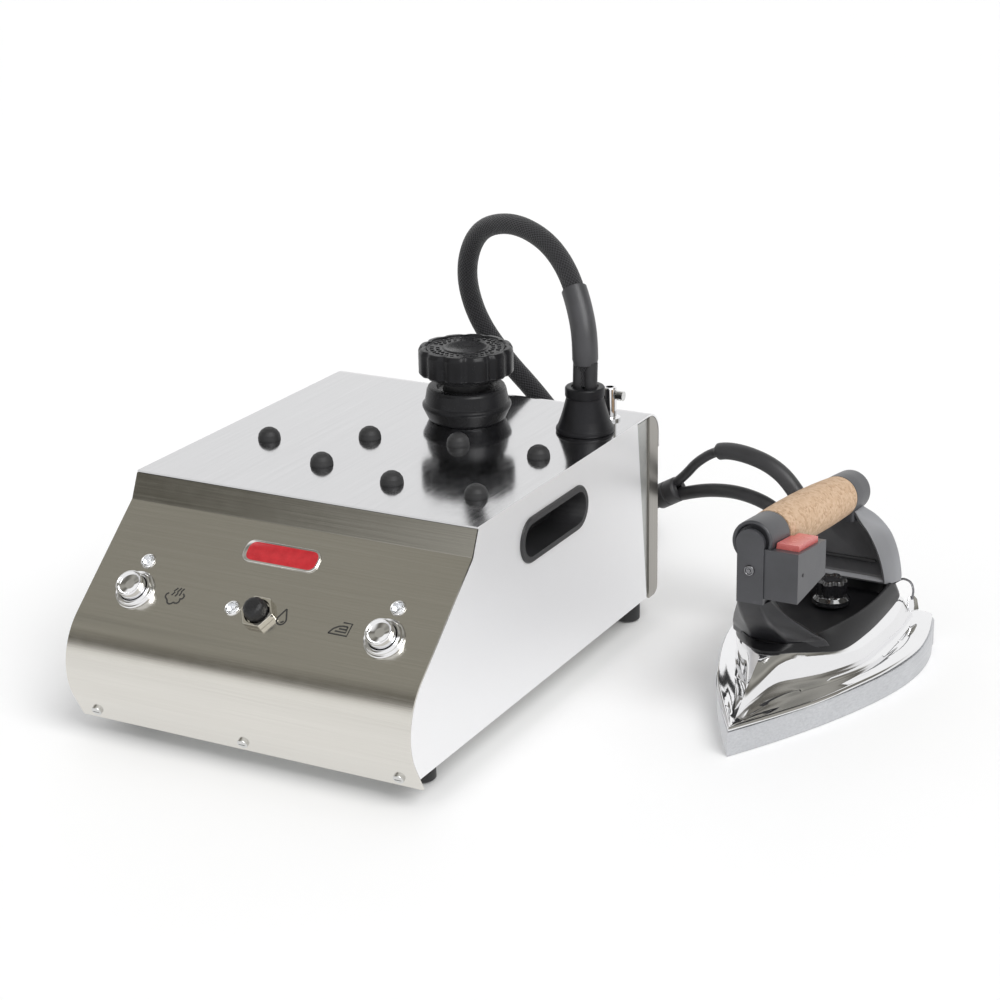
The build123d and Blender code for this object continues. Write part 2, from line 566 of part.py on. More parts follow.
def make_soleplate():
    plate = extrude(boat(SOLE_LENGTH, SOLE_WIDTH, 0, 0), SOLE_THICK)
    for row, count in enumerate((1, 2, 3, 2)):
        for i in range(count):
            x, y = at_iron((i - (count - 1) / 2) * (18 + 4 * row), 30 + 26 * row)
            plate -= post(1.8, -1, 5, x, y)
    return plate


COVER_LOW, COVER_FOLD, COVER_TOP, SKIRT_FLOOR, SKIRT_TOP = SOLE_THICK + 0.1, 22.0, 36.0, 38.0, 48.0
HORN_TOP = 84.0


def cover_shape(inset, low, top):
    """The cover's flange and the steeper shell above it, each pulled in by inset."""
    fold = boat(203 - 2 * inset, 94 - 2 * inset, 8 + inset, COVER_FOLD)
    flange = loft([boat(215.5 - 2 * inset, 117 - 2 * inset, 1.3 + inset, low), fold])
    return flange + loft([fold, boat(160 - 2 * inset, 74 - 2 * inset, 36 + inset, top)])


def cover_outer():
    return cover_shape(0, COVER_LOW, COVER_TOP)


def make_iron_cover():
    """Chromed shell over the heater."""
    shaft = post(3.8, COVER_TOP - 6, COVER_TOP + 2, *at_iron(KNOB_U, KNOB_S))
    return cover_outer() - cover_shape(3.0, COVER_LOW - 0.5, COVER_TOP - 2) - shaft


# The horn's outline at each height: half width and distance of its front, its flared corners and its back.
HORN = (
    (38.0, 11.5, 63, 30.8, 80, 16, 92), (48.0, 11.5, 61, 29.6, 76, 15, 87), (56.0, 10, 53.5, 25.3, 65, 13.3, 76),
    (66.0, 8.4, 42.5, 19.6, 53, 11, 61), (76.0, 8, 33.5, 13.6, 43, 9.5, 50), (HORN_TOP, 8, 28.5, 9.2, 36, 8.2, 44),
)


def horn_section(z, front, front_s, corner, corner_s, back, back_s):
    right = [(front, front_s), (corner, corner_s), (back, back_s)]
    outline = [at_iron(u, t) for u, t in right] + [at_iron(-u, t) for u, t in reversed(right)]
    return Plane.XY.offset(z) * polygon(outline)


def make_iron_skirt():
    """Black heat shield: a shallow tray over the shoulders of the cover, and the horn in front of the hand."""
    skirt = loft([boat(162, 78, 37, COVER_TOP - 3), boat(148, 67, 46, SKIRT_TOP)])
    tray = loft([boat(138, 55, 50, SKIRT_FLOOR), boat(143, 62, 48.5, SKIRT_TOP + 1)])
    skirt -= tray & block((IRON_X - 50, IRON_X + 50), (IRON_TIP_Y + 64, IRON_TIP_Y + 220), (30, 60))
    sections = [horn_section(*row) for row in HORN]
    for lower, upper in zip(sections, sections[1:]):
        skirt += loft([lower, upper], ruled=True)
    skirt -= cover_outer()
    return skirt - post(3.8, COVER_TOP - 6, SKIRT_TOP, *at_iron(KNOB_U, KNOB_S))


HANDLE = Plane(origin=HANDLE_FRONT, x_dir=(1, 0, 0),
               z_dir=(0, math.cos(math.radians(HANDLE_SLOPE)), -math.sin(math.radians(HANDLE_SLOPE))))
CORK_START = CAP_FRONT_LENGTH + 0.2
CAP_REAR_START = CORK_START + CORK_LENGTH + 0.2
HANDLE_END = CAP_REAR_START + CAP_REAR_LENGTH


def along_handle(points):
    return HANDLE * lathe(points)


def handle_envelope(room):
    """Everything that the handle's caps fill, for cutting their neighbours."""
    cap, cork = HANDLE_CAP_RADIUS + room, CORK_MID_RADIUS + room
    return along_handle([(0, -room), (cap, -room), (cap, CORK_START - room), (cork, CORK_START - room),
                         (cork, CAP_REAR_START), (cap, CAP_REAR_START), (cap, HANDLE_END + room),
                         (0, HANDLE_END + room)])


def handle_caps():
    rings = []
    for start, length in ((0.0, CAP_FRONT_LENGTH), (CAP_REAR_START, CAP_REAR_LENGTH)):
        end = start + length
        rings.append(along_handle([(3.3, start), (HANDLE_CAP_RADIUS - 0.8, start), (HANDLE_CAP_RADIUS, start + 0.8),
                                   (HANDLE_CAP_RADIUS, end - 0.8), (HANDLE_CAP_RADIUS - 0.8, end), (3.3, end)]))
    return rings


def make_cork():
    middle, end = CORK_START + CORK_LENGTH / 2, CORK_START + CORK_LENGTH
    face = make_face([
        Line((3.3, CORK_START), (CORK_END_RADIUS, CORK_START)),
        ThreePointArc((CORK_END_RADIUS, CORK_START), (CORK_MID_RADIUS, middle), (CORK_END_RADIUS, end)),
        Line((CORK_END_RADIUS, end), (3.3, end)), Line((3.3, end), (3.3, CORK_START))])
    return HANDLE * revolve(Plane.XZ * face, Axis.Z)


POST_FRONT_S, POST_BACK_S = 28.3, 44.0
BOX_U, BOX_S, BOX_LOW, BOX_FRONT_TOP = (8.5, 28.8), (29.3, 73.3), 87.6, 117.5


def make_front_post():
    """Upright plate on the horn, with a rounded top that closes the front end of the handle."""
    x0, y0 = at_iron(0, 0)
    plate = block((x0 - 7.7, x0 + BOX_U[0] - 0.1), (y0 + POST_FRONT_S, y0 + POST_BACK_S), (HORN_TOP + 0.05, 119.7))
    round_top = rod((x0, y0 + POST_FRONT_S, 119.7), (x0, y0 + POST_FRONT_S + 3, 119.7), 8.6)
    upright = plate + round_top - handle_envelope(0.1)
    hole = rod((x0, y0 + POST_FRONT_S - 2, 104), (x0, y0 + POST_FRONT_S + 12, 104), 1.7)
    return upright - hole


def box_top(u, along, height):
    """Place on the sloping top of the switch box, with local Y running to the rear."""
    x, y = at_iron(u, BOX_S[0])
    tilt = math.radians(HANDLE_SLOPE)
    plane = Plane(origin=(x, y, BOX_FRONT_TOP), x_dir=(1, 0, 0), z_dir=(0, math.sin(tilt), math.cos(tilt)))
    return plane * Pos(0, along, height)


BUTTON_U, BUTTON_START, BUTTON_WIDTH, BUTTON_LENGTH = 19.6, 7.0, 13.6, 30.0


def make_switch_box():
    low_u, high_u = BOX_U
    depth = BOX_S[1] - BOX_S[0]
    drop = depth * math.tan(math.radians(HANDLE_SLOPE))
    front, back = IRON_TIP_Y + BOX_S[0], IRON_TIP_Y + BOX_S[1]
    outline = polygon([(front, BOX_LOW), (back, BOX_LOW + 3), (back, BOX_FRONT_TOP - drop), (front, BOX_FRONT_TOP)])
    box = side_extrude(outline, IRON_X + low_u, IRON_X + high_u)
    box -= handle_envelope(0.1)
    slot = Box(BUTTON_WIDTH + 2 * CLEAR, BUTTON_LENGTH + 2 * CLEAR, 18, align=(Align.CENTER, Align.MIN, Align.MAX))
    return box - box_top(BUTTON_U, BUTTON_START - CLEAR, 2) * slot


def make_steam_button():
    flat = (Align.CENTER, Align.MIN, Align.MIN)
    plate = box_top(BUTTON_U, BUTTON_START, -4) * Box(BUTTON_WIDTH, BUTTON_LENGTH, 7.2, align=flat)
    return plate - handle_envelope(CLEAR)


def make_microswitch():
    flat = (Align.CENTER, Align.MIN, Align.MIN)
    return box_top(BUTTON_U, BUTTON_START + 4, -15) * Box(8, 20, 8, align=flat)


SHIELD_S = (174.5, 187.5)
# Half width and height of the shield's outline, on its front and, flared, on its rear.
SHIELD_FRONT = ((31.0, 48.2), (30.8, 52.0), (29.0, 60.0), (25.5, 70.0), (20.0, 80.0), (14.3, 87.5), (10.5, 93.0))
SHIELD_REAR = ((37.2, 48.2), (37.4, 52.0), (36.3, 60.0), (33.7, 70.0), (28.8, 80.0), (20.0, 88.5), (11.0, 93.0))


def make_rear_shield():
    """Bell-shaped wall behind the hand that carries the rear end of the handle."""
    front, back = IRON_TIP_Y + SHIELD_S[0], IRON_TIP_Y + SHIELD_S[1]
    faces = []
    for outline, y in ((SHIELD_FRONT, front), (SHIELD_REAR, back)):
        right = [(IRON_X + u, z) for u, z in outline]
        left = [(2 * IRON_X - x, z) for x, z in reversed(right)]
        edges = [Spline(*right), Line(right[-1], left[0]), Spline(*left), Line(left[-1], right[0])]
        faces.append(Plane(origin=(0, y, 0), x_dir=(1, 0, 0), z_dir=(0, -1, 0)) * make_face(edges))
    wall = loft(faces)
    foot = block((IRON_X - 18, IRON_X + 18), (front + 0.5, back - 2), (SKIRT_FLOOR + 0.05, 50))
    return wall + foot - handle_envelope(0.1)


def make_knob():
    """Lobed thermostat knob on its spindle."""
    knob = Pos(0, 0, KNOB_Z) * Cylinder(12.4, KNOB_TOP - KNOB_Z, align=BASE)
    knob = fillet(knob.edges().group_by(Axis.Z)[-1], 2.0)
    for lobe in range(8):
        angle = math.radians(45 * lobe)
        knob -= post(3.4, KNOB_Z + 4, KNOB_TOP + 1, 14.6 * math.cos(angle), 14.6 * math.sin(angle))
    knob += post(3.0, 27, KNOB_Z + 1)
    return Pos(*at_iron(KNOB_U, KNOB_S), 0) * knob


def make_iron_thermostat():
    body = post(10, SOLE_THICK + 0.1, 25.5) - post(3.4, 24, 30)
    return Pos(*at_iron(KNOB_U, KNOB_S), 0) * body


def iron_screws():
    x0, y0 = at_iron(0, 0)
    front = Plane(origin=(x0, y0 + POST_FRONT_S, 104), x_dir=(1, 0, 0), z_dir=(0, -1, 0)) * screw(4.2, 1.6, 10)
    return [front]


def lead_glands(cutter):
    """Two strain reliefs on the left flank of the rear shield."""
    pieces = []
    for route, radius, reach in ((POWER_ROUTE, 6.6, 12.0), (STEAM_ROUTE, 6.2, 9.5)):
        end, before = Vector(*route[-1]), Vector(*route[-2])
        heading = (end - before).normalized()
        pieces.append(rod(tuple(end), tuple(end + heading * reach), radius) - cutter)
    return pieces


# ---------------------------------------------------------------- hose and leads
def between(a, b, share):
    return tuple(p + (q - p) * share for p, q in zip(a, b))


def make_coil():
    """The put-away length, wound flat on the floor behind the cabinet."""
    width = HOSE_DIAMETER * 2.15
    section = Pos(COIL_RADIUS, COIL_HEIGHT / 2) * RectangleRounded(width, COIL_HEIGHT, 8)
    return Pos(*COIL_CENTRE, 0) * revolve(Plane.XZ * section, Axis.Z)


def make_cords():
    sleeve_start = between(HOSE_ROUTE[0], HOSE_ROUTE[1], SLEEVE_START)
    sleeve_end = between(HOSE_ROUTE[SLEEVE_END_RUN], HOSE_ROUTE[SLEEVE_END_RUN + 1], 0.5)
    coil = make_coil()
    above_cone = block((CONE_X - 20, CONE_X + 20), (CONE_Y - 20, CONE_Y + 20), (CONE_TOP_Z + 0.02, CONE_TOP_Z + 60))
    below = between(HOSE_ROUTE[0], HOSE_ROUTE[1], -0.05)
    save("hose_root", rod(below, sleeve_start, HOSE_DIAMETER / 2) & above_cone)
    save("hose_sleeve", tube("hose_sleeve", [sleeve_start, *HOSE_ROUTE[1:SLEEVE_END_RUN + 1], sleeve_end],
                             HOSE_SLEEVE_DIAMETER))
    save("hose_main", tube("hose_main", [sleeve_end, *HOSE_ROUTE[SLEEVE_END_RUN + 1:]], HOSE_DIAMETER) - coil)
    save("hose_coil", coil)
    save("hose_tail", tube("hose_tail", TAIL_ROUTE, HOSE_DIAMETER) - coil)
    y_sleeve = rod(*Y_SLEEVE, Y_SLEEVE_DIAMETER / 2)
    save("y_sleeve", y_sleeve)
    middle = between(POWER_ROUTE[2], POWER_ROUTE[3], 0.5)
    save("power_lead", tube("power_lead", [*POWER_ROUTE[:3], middle], POWER_DIAMETER) - y_sleeve)
    save("power_lead_sleeve", tube("power_lead_sleeve", [middle, *POWER_ROUTE[3:]], POWER_SLEEVE_DIAMETER))
    save("steam_lead", tube("steam_lead", STEAM_ROUTE, STEAM_DIAMETER) - y_sleeve)


# ---------------------------------------------------------------- nodes
save("cover", make_cover())
save("front_panel", make_front_panel())
save("rear_panel", make_rear_panel())
save("chassis", make_chassis())
cup = make_handle_cup()
save("handle_cup_right", cup)
save("handle_cup_left", mirror(cup, Plane.YZ))
save("rest_pads", *make_rest_pads())
feet, foot_screws = make_feet()
save("feet", *feet)
save("foot_screws", *foot_screws)
save("cabinet_screws", *cabinet_screws())
save("badge", on_panel(0, 19.8, 0.05) * extrude(RectangleRounded(51, 15, 5), 1.2))

save("switch_bezels", *[on_panel(side * SWITCH_X, SWITCH_S) * piece for side in (-1, 1) for piece in make_bezel()])
save("switch_button_left", on_panel(-SWITCH_X, SWITCH_S) * make_switch_button())
save("switch_button_right", on_panel(SWITCH_X, SWITCH_S) * make_switch_button())
save("indicator_lamps", *[on_panel(x, s) * piece for x, s in LAMPS for piece in make_lamp()])
save("reset_nut", on_panel(RESET_X, RESET_S) * make_reset_nut())
save("reset_boot", on_panel(RESET_X, RESET_S) * make_reset_boot())
save("switch_bodies", *switch_bodies())

save("boiler_shell", make_boiler())
save("boiler_brackets", *make_boiler_brackets())
save("heating_element", make_heating_element())
save("boiler_sensors", *boiler_sensors())
save("filler_neck", make_filler_neck())
save("boiler_collar", make_collar())
cap_knob, cap_plug, cap_gasket, cap_core = make_cap()
save("cap_knob", cap_knob)
save("cap_plug", cap_plug)
save("cap_gasket", cap_gasket)
save("cap_valve_core", cap_core)
save("hose_cone", make_cone())
rod_socket, rod_clamp = make_rod_socket()
save("rod_socket", rod_socket)
save("rod_clamp_screw", rod_clamp)
valve_body, valve_coil, steam_pipe = make_steam_parts()
save("solenoid_valve", valve_body)
save("solenoid_coil", valve_coil)
save("steam_pipe", steam_pipe)
save("control_board", *control_board())
save("mains_gland", make_gland())

save("soleplate", make_soleplate())
save("iron_cover", make_iron_cover())
save("iron_skirt", make_iron_skirt())
save("front_post", make_front_post())
save("switch_box", make_switch_box())
save("steam_button", make_steam_button())
save("microswitch", make_microswitch())
save("handle_caps", *handle_caps())
save("cork_grip", make_cork())
save("tie_rod", along_handle([(0, 2), (3.0, 2), (3.0, HANDLE_END - 4), (0, HANDLE_END - 4)]))
rear_shield = make_rear_shield()
save("rear_shield", rear_shield)
save("thermostat_knob", make_knob())
save("iron_thermostat", make_iron_thermostat())
save("iron_screws", *iron_screws())
save("lead_glands", *lead_glands(rear_shield))
make_cords()
print("origin", round(ORIGIN_X, 3), round(ORIGIN_Y, 3))
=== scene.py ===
import math

import bmesh
import bpy
from mathutils import Matrix, Vector


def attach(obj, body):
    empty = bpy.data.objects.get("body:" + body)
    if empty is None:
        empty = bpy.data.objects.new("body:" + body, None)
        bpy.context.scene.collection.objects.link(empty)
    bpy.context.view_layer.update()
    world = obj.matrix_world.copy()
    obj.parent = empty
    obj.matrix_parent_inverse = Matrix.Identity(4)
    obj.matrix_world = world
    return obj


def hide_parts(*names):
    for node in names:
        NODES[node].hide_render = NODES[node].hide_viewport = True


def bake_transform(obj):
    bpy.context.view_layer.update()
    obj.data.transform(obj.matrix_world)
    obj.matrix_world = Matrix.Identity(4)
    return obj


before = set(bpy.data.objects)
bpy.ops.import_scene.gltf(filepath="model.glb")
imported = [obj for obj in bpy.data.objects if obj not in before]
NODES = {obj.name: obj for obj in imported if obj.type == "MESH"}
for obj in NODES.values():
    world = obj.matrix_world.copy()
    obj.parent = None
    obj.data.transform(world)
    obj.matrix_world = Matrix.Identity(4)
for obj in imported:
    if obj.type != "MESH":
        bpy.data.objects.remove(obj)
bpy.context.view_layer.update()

# Positions below are millimetres in the cabinet's own frame: X across, Y from the front edge of the
# top to the rear, Z up from the floor. at() turns them into metres in the part's frame.
ORIGIN = Vector((90.65, 101.589, 0.0))
MM = 0.001


def at(x, y, z):
    return (Vector((x, y, z)) - ORIGIN) * MM


# ---------------------------------------------------------------- camera
CAMERA_PLACE = (708.4, -1070.3, 591.9)
CAMERA_ANGLES = (28.42, 19.54, -1.08)  # yaw, pitch and roll in degrees
FOCAL_LENGTH, SENSOR_WIDTH, FARTHEST = 85.32, 36.0, 60.0


def make_camera():
    yaw, pitch, roll = (math.radians(angle) for angle in CAMERA_ANGLES)
    forward = Vector((-math.sin(yaw) * math.cos(pitch), math.cos(yaw) * math.cos(pitch), -math.sin(pitch)))
    right = Vector((math.cos(yaw), math.sin(yaw), 0.0))
    up = right.cross(forward)
    turned_right = right * math.cos(roll) + up * math.sin(roll)
    turned_up = up * math.cos(roll) - right * math.sin(roll)
    data = bpy.data.cameras.new("camera")
    data.lens, data.sensor_width, data.clip_end = FOCAL_LENGTH, SENSOR_WIDTH, FARTHEST
    camera = bpy.data.objects.new("camera", data)
    turn = Matrix((turned_right, turned_up, -forward)).transposed().to_4x4()
    camera.matrix_world = Matrix.Translation(at(*CAMERA_PLACE)) @ turn
    bpy.context.scene.collection.objects.link(camera)
    bpy.context.scene.camera = camera


make_camera()


# ---------------------------------------------------------------- node materials
class Graph:
    """The node tree of a material or of the world, built by short calls."""

    def __init__(self, name, kind="materials", output="ShaderNodeOutputMaterial"):
        self.owner = getattr(bpy.data, kind).new(name)
        self.owner.use_nodes = True
        self.tree = self.owner.node_tree
        self.tree.nodes.clear()
        self.output = self.tree.nodes.new(output)

    def put(self, socket, value):
        """Set a socket to a number or a colour, or link another node's output to it."""
        if isinstance(value, (int, float)):
            socket.default_value = value
        elif isinstance(value, tuple):
            socket.default_value = (*value, 1.0) if len(value) == 3 and socket.type == "RGBA" else value
        else:
            self.tree.links.new(value, socket)

    def fed(self, kind, output=0, settings=None, **inputs):
        """One output of a new node. Input names use underscores for the sockets' spaces."""
        node = self.tree.nodes.new(kind)
        for name, value in (settings or {}).items():
            setattr(node, name, value)
        for name, value in inputs.items():
            self.put(node.inputs[name.replace("_", " ")], value)
        return node.outputs[output]

    def coordinates(self, scale=(1, 1, 1), rotation=(0, 0, 0), kind="Object"):
        place = self.fed("ShaderNodeTexCoord", kind)
        return self.fed("ShaderNodeMapping", Vector=place, Scale=scale, Rotation=rotation)

    def axis(self, letter, kind="Object"):
        return self.fed("ShaderNodeSeparateXYZ", letter, Vector=self.fed("ShaderNodeTexCoord", kind))

    def noise(self, vector, scale, detail=4.0, roughness=0.55):
        return self.fed("ShaderNodeTexNoise", "Fac", Vector=vector, Scale=scale, Detail=detail,
                        Roughness=roughness)

    def voronoi(self, vector, scale, output="Distance"):
        return self.fed("ShaderNodeTexVoronoi", output, Vector=vector, Scale=scale)

    def math(self, operation, *values):
        node = self.tree.nodes.new("ShaderNodeMath")
        node.operation = operation
        for socket, value in zip(node.inputs, values):
            self.put(socket, value)
        return node.outputs[0]

    def ramp(self, value, stops, interpolation="LINEAR"):
        """Colours at positions from 0 to 1."""
        node = self.tree.nodes.new("ShaderNodeValToRGB")
        node.color_ramp.interpolation = interpolation
        elements = node.color_ramp.elements
        while len(elements) < len(stops):
            elements.new(0.5)
        for element, (position, colour) in zip(elements, stops):
            element.position = position
            element.color = (*colour, 1.0)
        self.put(node.inputs["Fac"], value)
        return node.outputs["Color"]

    def remap(self, value, low, high, start=0.0, end=1.0):
        return self.fed("ShaderNodeMapRange", "Result", Value=value, From_Min=start, From_Max=end,
                        To_Min=low, To_Max=high)

    def mix(self, factor, a, b, blend="MIX"):
        node = self.tree.nodes.new("ShaderNodeMix")
        node.data_type, node.blend_type = "RGBA", blend
        for index, value in ((0, factor), (6, a), (7, b)):
            self.put(node.inputs[index], value)
        return node.outputs[2]

    def bump(self, height, distance, strength=1.0):
        return self.fed("ShaderNodeBump", "Normal", Height=height, Distance=distance, Strength=strength)

    def blend(self, factor, a, b):
        """Two shaders mixed."""
        node = self.tree.nodes.new("ShaderNodeMixShader")
        for socket, value in zip(node.inputs, (factor, a, b)):
            self.put(socket, value)
        return node.outputs[0]

    def finish(self, shader):
        self.put(self.output.inputs["Surface"], shader)
        return self.owner

    def shade(self, **inputs):
        return self.finish(self.fed("ShaderNodeBsdfPrincipled", **inputs))


def steel(name, tints, roughness, lines, bump=0.00002, lip=None, side=None):
    """Stainless steel. lines is the scale of the grain along each axis: small along it, large across.

    lip is the factor of a painted shade on the short steep band under the top's front edge, and the rounded
    nose below gets a painted bright reflection of the floor.
    side is a painted highlight tint that brightens faces that look along X against the top; those faces are
    also made rougher and less metallic.
    """
    g = Graph(name)
    grain = g.noise(g.coordinates(lines), 1.0, 6.0, 0.7)
    place = g.coordinates()
    clouds = g.noise(place, 9.0, 3.0)
    fine = g.noise(place, 120.0, 3.0)
    colour = g.ramp(grain, [(0.3, tints[0]), (0.7, tints[1])])
    colour = g.mix(g.remap(clouds, 0.0, 0.05, 0.35, 0.75), colour, tuple(c * 0.72 for c in tints[0]))
    # Painted light: a darker lip band as painted shade, and a nose that turns brighter towards the bottom as
    # a painted reflection of the floor.
    if lip:
        height = g.axis("Z")
        band = g.remap(height, 0.0, 1.0, 0.1258, 0.1268)
        colour = g.mix(band, colour, g.mix(1.0, colour, (lip, lip, lip * 0.97), "MULTIPLY"))
        nose = g.remap(height, 0.35, 0.0, 0.045, 0.075)
        colour = g.mix(nose, colour, (0.97, 0.95, 0.91))
    rough = g.math("ADD", g.remap(grain, roughness - 0.04, roughness + 0.04, 0.3, 0.7),
                   g.remap(fine, 0.0, 0.04, 0.3, 0.8))
    metal = 1.0
    # Painted highlight: faces that look along X get a lighter tint than the top.
    if side:
        facing = g.remap(g.math("ABSOLUTE", g.axis("X", "Normal")), 0.0, 1.0, 0.6, 0.9)
        rough = g.math("ADD", rough, g.math("MULTIPLY", facing, 0.30))
        colour = g.mix(facing, colour, side)
        metal = g.remap(facing, 1.0, 0.55, 0.0, 1.0)
    return g.shade(Base_Color=colour, Metallic=metal, Roughness=rough, Normal=g.bump(grain, bump))


def plastic(name, dark, light, roughness, grain_scale=2600.0, bump=0.00004, specular=0.5, coat=0.0, painted_rim_highlight=None):
    """Moulded plastic with a fine spark-eroded grain and faint mottling.

    rim is a painted highlight tint for faces that don't look forwards or backwards.
    """
    g = Graph(name)
    place = g.coordinates()
    grain = g.noise(place, grain_scale, 2.0, 0.6)
    clouds = g.noise(place, 45.0, 4.0)
    scuffs = g.noise(g.coordinates((90, 700, 260), (0.4, 0.2, 0.7)), 1.0, 5.0, 0.7)
    scuffed = tuple(min(1.0, c * 1.7 + 0.01) for c in light)
    colour = g.mix(g.remap(clouds, 0.0, 1.0, 0.3, 0.75), dark, light)
    colour = g.mix(g.remap(scuffs, 0.0, 0.35, 0.62, 0.8), colour, scuffed)
    # Painted highlight: faces that don't look along Y are tinted lighter.
    if painted_rim_highlight:
        facing = g.remap(g.math("ABSOLUTE", g.axis("Y", "Normal")), 1.0, 0.0, 0.45, 0.8)
        colour = g.mix(facing, colour, g.mix(clouds, painted_rim_highlight, tuple(c * 0.8 for c in painted_rim_highlight)))
    rough = g.math("ADD", g.remap(clouds, roughness - 0.05, roughness + 0.05, 0.3, 0.7),
                   g.remap(scuffs, 0.0, 0.08, 0.55, 0.8))
    return g.shade(Base_Color=colour, Roughness=rough, Specular_IOR_Level=specular, Coat_Weight=coat,
                   Coat_Roughness=0.12, Normal=g.bump(grain, bump))


def chrome(name, tint=(0.86, 0.86, 0.87), roughness=0.05):
    g = Graph(name)
    place = g.coordinates()
    haze = g.noise(place, 30.0, 5.0, 0.6)
    wipes = g.noise(g.coordinates((60, 900, 300), (0.3, 0.1, 0.5)), 1.0, 4.0, 0.7)
    colour = g.mix(g.remap(haze, 0.0, 0.25, 0.4, 0.8), tint, tuple(c * 0.88 for c in tint))
    rough = g.math("ADD", g.remap(haze, roughness * 0.6, roughness * 1.5, 0.3, 0.8),
                   g.remap(wipes, 0.0, 0.04, 0.55, 0.85))
    return g.shade(Base_Color=colour, Metallic=1.0, Roughness=rough, Normal=g.bump(wipes, 0.000004))


def cork_material():
    g = Graph("natural_cork")
    place = g.coordinates()
    cells = g.voronoi(place, 900.0)
    grains = g.voronoi(g.coordinates((1, 0.8, 1)), 620.0, "Color")
    clouds = g.noise(place, 260.0, 6.0, 0.65)
    flecks = g.noise(g.coordinates((1, 0.7, 1)), 1300.0, 3.0, 0.7)
    tints = [(0.0, (0.43, 0.28, 0.17)), (0.3, (0.53, 0.36, 0.23)), (1.0, (0.62, 0.45, 0.31))]
    colour = g.ramp(g.fed("ShaderNodeSeparateColor", Color=grains), tints)
    colour = g.mix(g.remap(clouds, 0.0, 0.6, 0.4, 0.75), colour, (0.65, 0.48, 0.345))
    colour = g.mix(g.remap(flecks, 0.0, 0.7, 0.62, 0.72), colour, (0.30, 0.16, 0.08))
    height = g.math("SUBTRACT", g.math("ADD", cells, clouds), g.remap(flecks, 0.0, 1.0, 0.58, 0.7))
    return g.shade(Base_Color=colour, Roughness=g.remap(clouds, 0.7, 0.9, 0.3, 0.7), Specular_IOR_Level=0.3,
                   Normal=g.bump(height, 0.0002, 0.7))


def braid_material(name, dark, light, pitch):
    """Textile braid. UVs run in metres: along the tube, and round it."""
    g = Graph(name)
    waves = []
    for turn in (math.radians(52), math.radians(-52)):
        waves.append(g.fed("ShaderNodeTexWave", "Fac", {"wave_type": "BANDS", "bands_direction": "X"},
                           Vector=g.coordinates((1, 1, 1), (0, 0, turn), "UV"), Scale=0.314 / pitch,
                           Distortion=0.6, Detail=1.0))
    over = g.math("MAXIMUM", *waves)
    both = g.math("MULTIPLY", *waves)
    height = g.math("ADD", over, g.math("MULTIPLY", both, 0.6))
    fuzz = g.noise(g.coordinates(kind="UV"), 2400.0, 4.0, 0.7)
    colour = g.mix(g.remap(height, 0.0, 1.0, 0.45, 1.35), dark, light)
    colour = g.mix(g.remap(fuzz, 0.0, 0.35, 0.58, 0.72), colour, tuple(min(1.0, c * 3.2) for c in light))
    height = g.math("ADD", height, g.math("MULTIPLY", fuzz, 0.5))
    return g.shade(Base_Color=colour, Roughness=0.62, Specular_IOR_Level=0.35, Sheen_Weight=0.25,
                   Sheen_Roughness=0.4, Normal=g.bump(height, 0.00035, 0.9))


def aluminium_material():
    """Sole: satin ground aluminium with fine lines along its length."""
    g = Graph("sole_aluminium")
    place = g.coordinates()
    lines = g.noise(g.coordinates((900, 14, 900)), 1.0, 5.0, 0.7)
    specks = g.noise(place, 1400.0, 2.0, 0.7)
    clouds = g.noise(place, 22.0, 4.0)
    colour = g.ramp(lines, [(0.3, (0.55, 0.56, 0.58)), (0.7, (0.69, 0.70, 0.72))])
    colour = g.mix(g.remap(clouds, 0.0, 0.25, 0.4, 0.75), colour, (0.49, 0.50, 0.52))
    rough = g.remap(specks, 0.30, 0.46, 0.3, 0.7)
    return g.shade(Base_Color=colour, Metallic=0.9, Roughness=rough, Normal=g.bump(specks, 0.00003))


def lens_material():
    g = Graph("lamp_lens")
    haze = g.noise(g.coordinates(), 500.0, 3.0)
    return g.shade(Base_Color=g.mix(haze, (0.97, 0.98, 1.0), (0.90, 0.92, 0.95)), Transmission_Weight=0.96,
                   Roughness=g.remap(haze, 0.01, 0.05, 0.3, 0.7), IOR=1.42, Coat_Weight=0.3,
                   Coat_Roughness=0.02)


def ink_material():
    g = Graph("printed_ink")
    mottle = g.noise(g.coordinates(), 1800.0, 3.0)
    return g.shade(Base_Color=g.mix(mottle, (0.012, 0.012, 0.012), (0.05, 0.048, 0.045)),
                   Roughness=g.remap(mottle, 0.45, 0.65, 0.3, 0.7))


def enamel_material():
    g = Graph("badge_enamel")
    haze = g.noise(g.coordinates(), 220.0, 4.0)
    fine = g.noise(g.coordinates(), 1500.0, 2.0)
    colour = g.mix(g.remap(haze, 0.0, 1.0, 0.3, 0.75), (0.42, 0.010, 0.018), (0.56, 0.020, 0.030))
    return g.shade(Base_Color=colour, Roughness=g.remap(fine, 0.16, 0.28, 0.3, 0.7), Coat_Weight=0.7,
                   Coat_Roughness=0.06, Normal=g.bump(fine, 0.00001))


# The front panel gets a painted shade on its lip and a painted bright reflection on its nose.
BRUSHED = steel("front_brushed_steel", ((0.58, 0.56, 0.51), (0.67, 0.65, 0.60)), 0.15, (9, 1500, 1500),
                lip=0.62)
REAR_STEEL = steel("rear_brushed_steel", ((0.33, 0.315, 0.29), (0.42, 0.40, 0.37)), 0.30, (1400, 1400, 10))
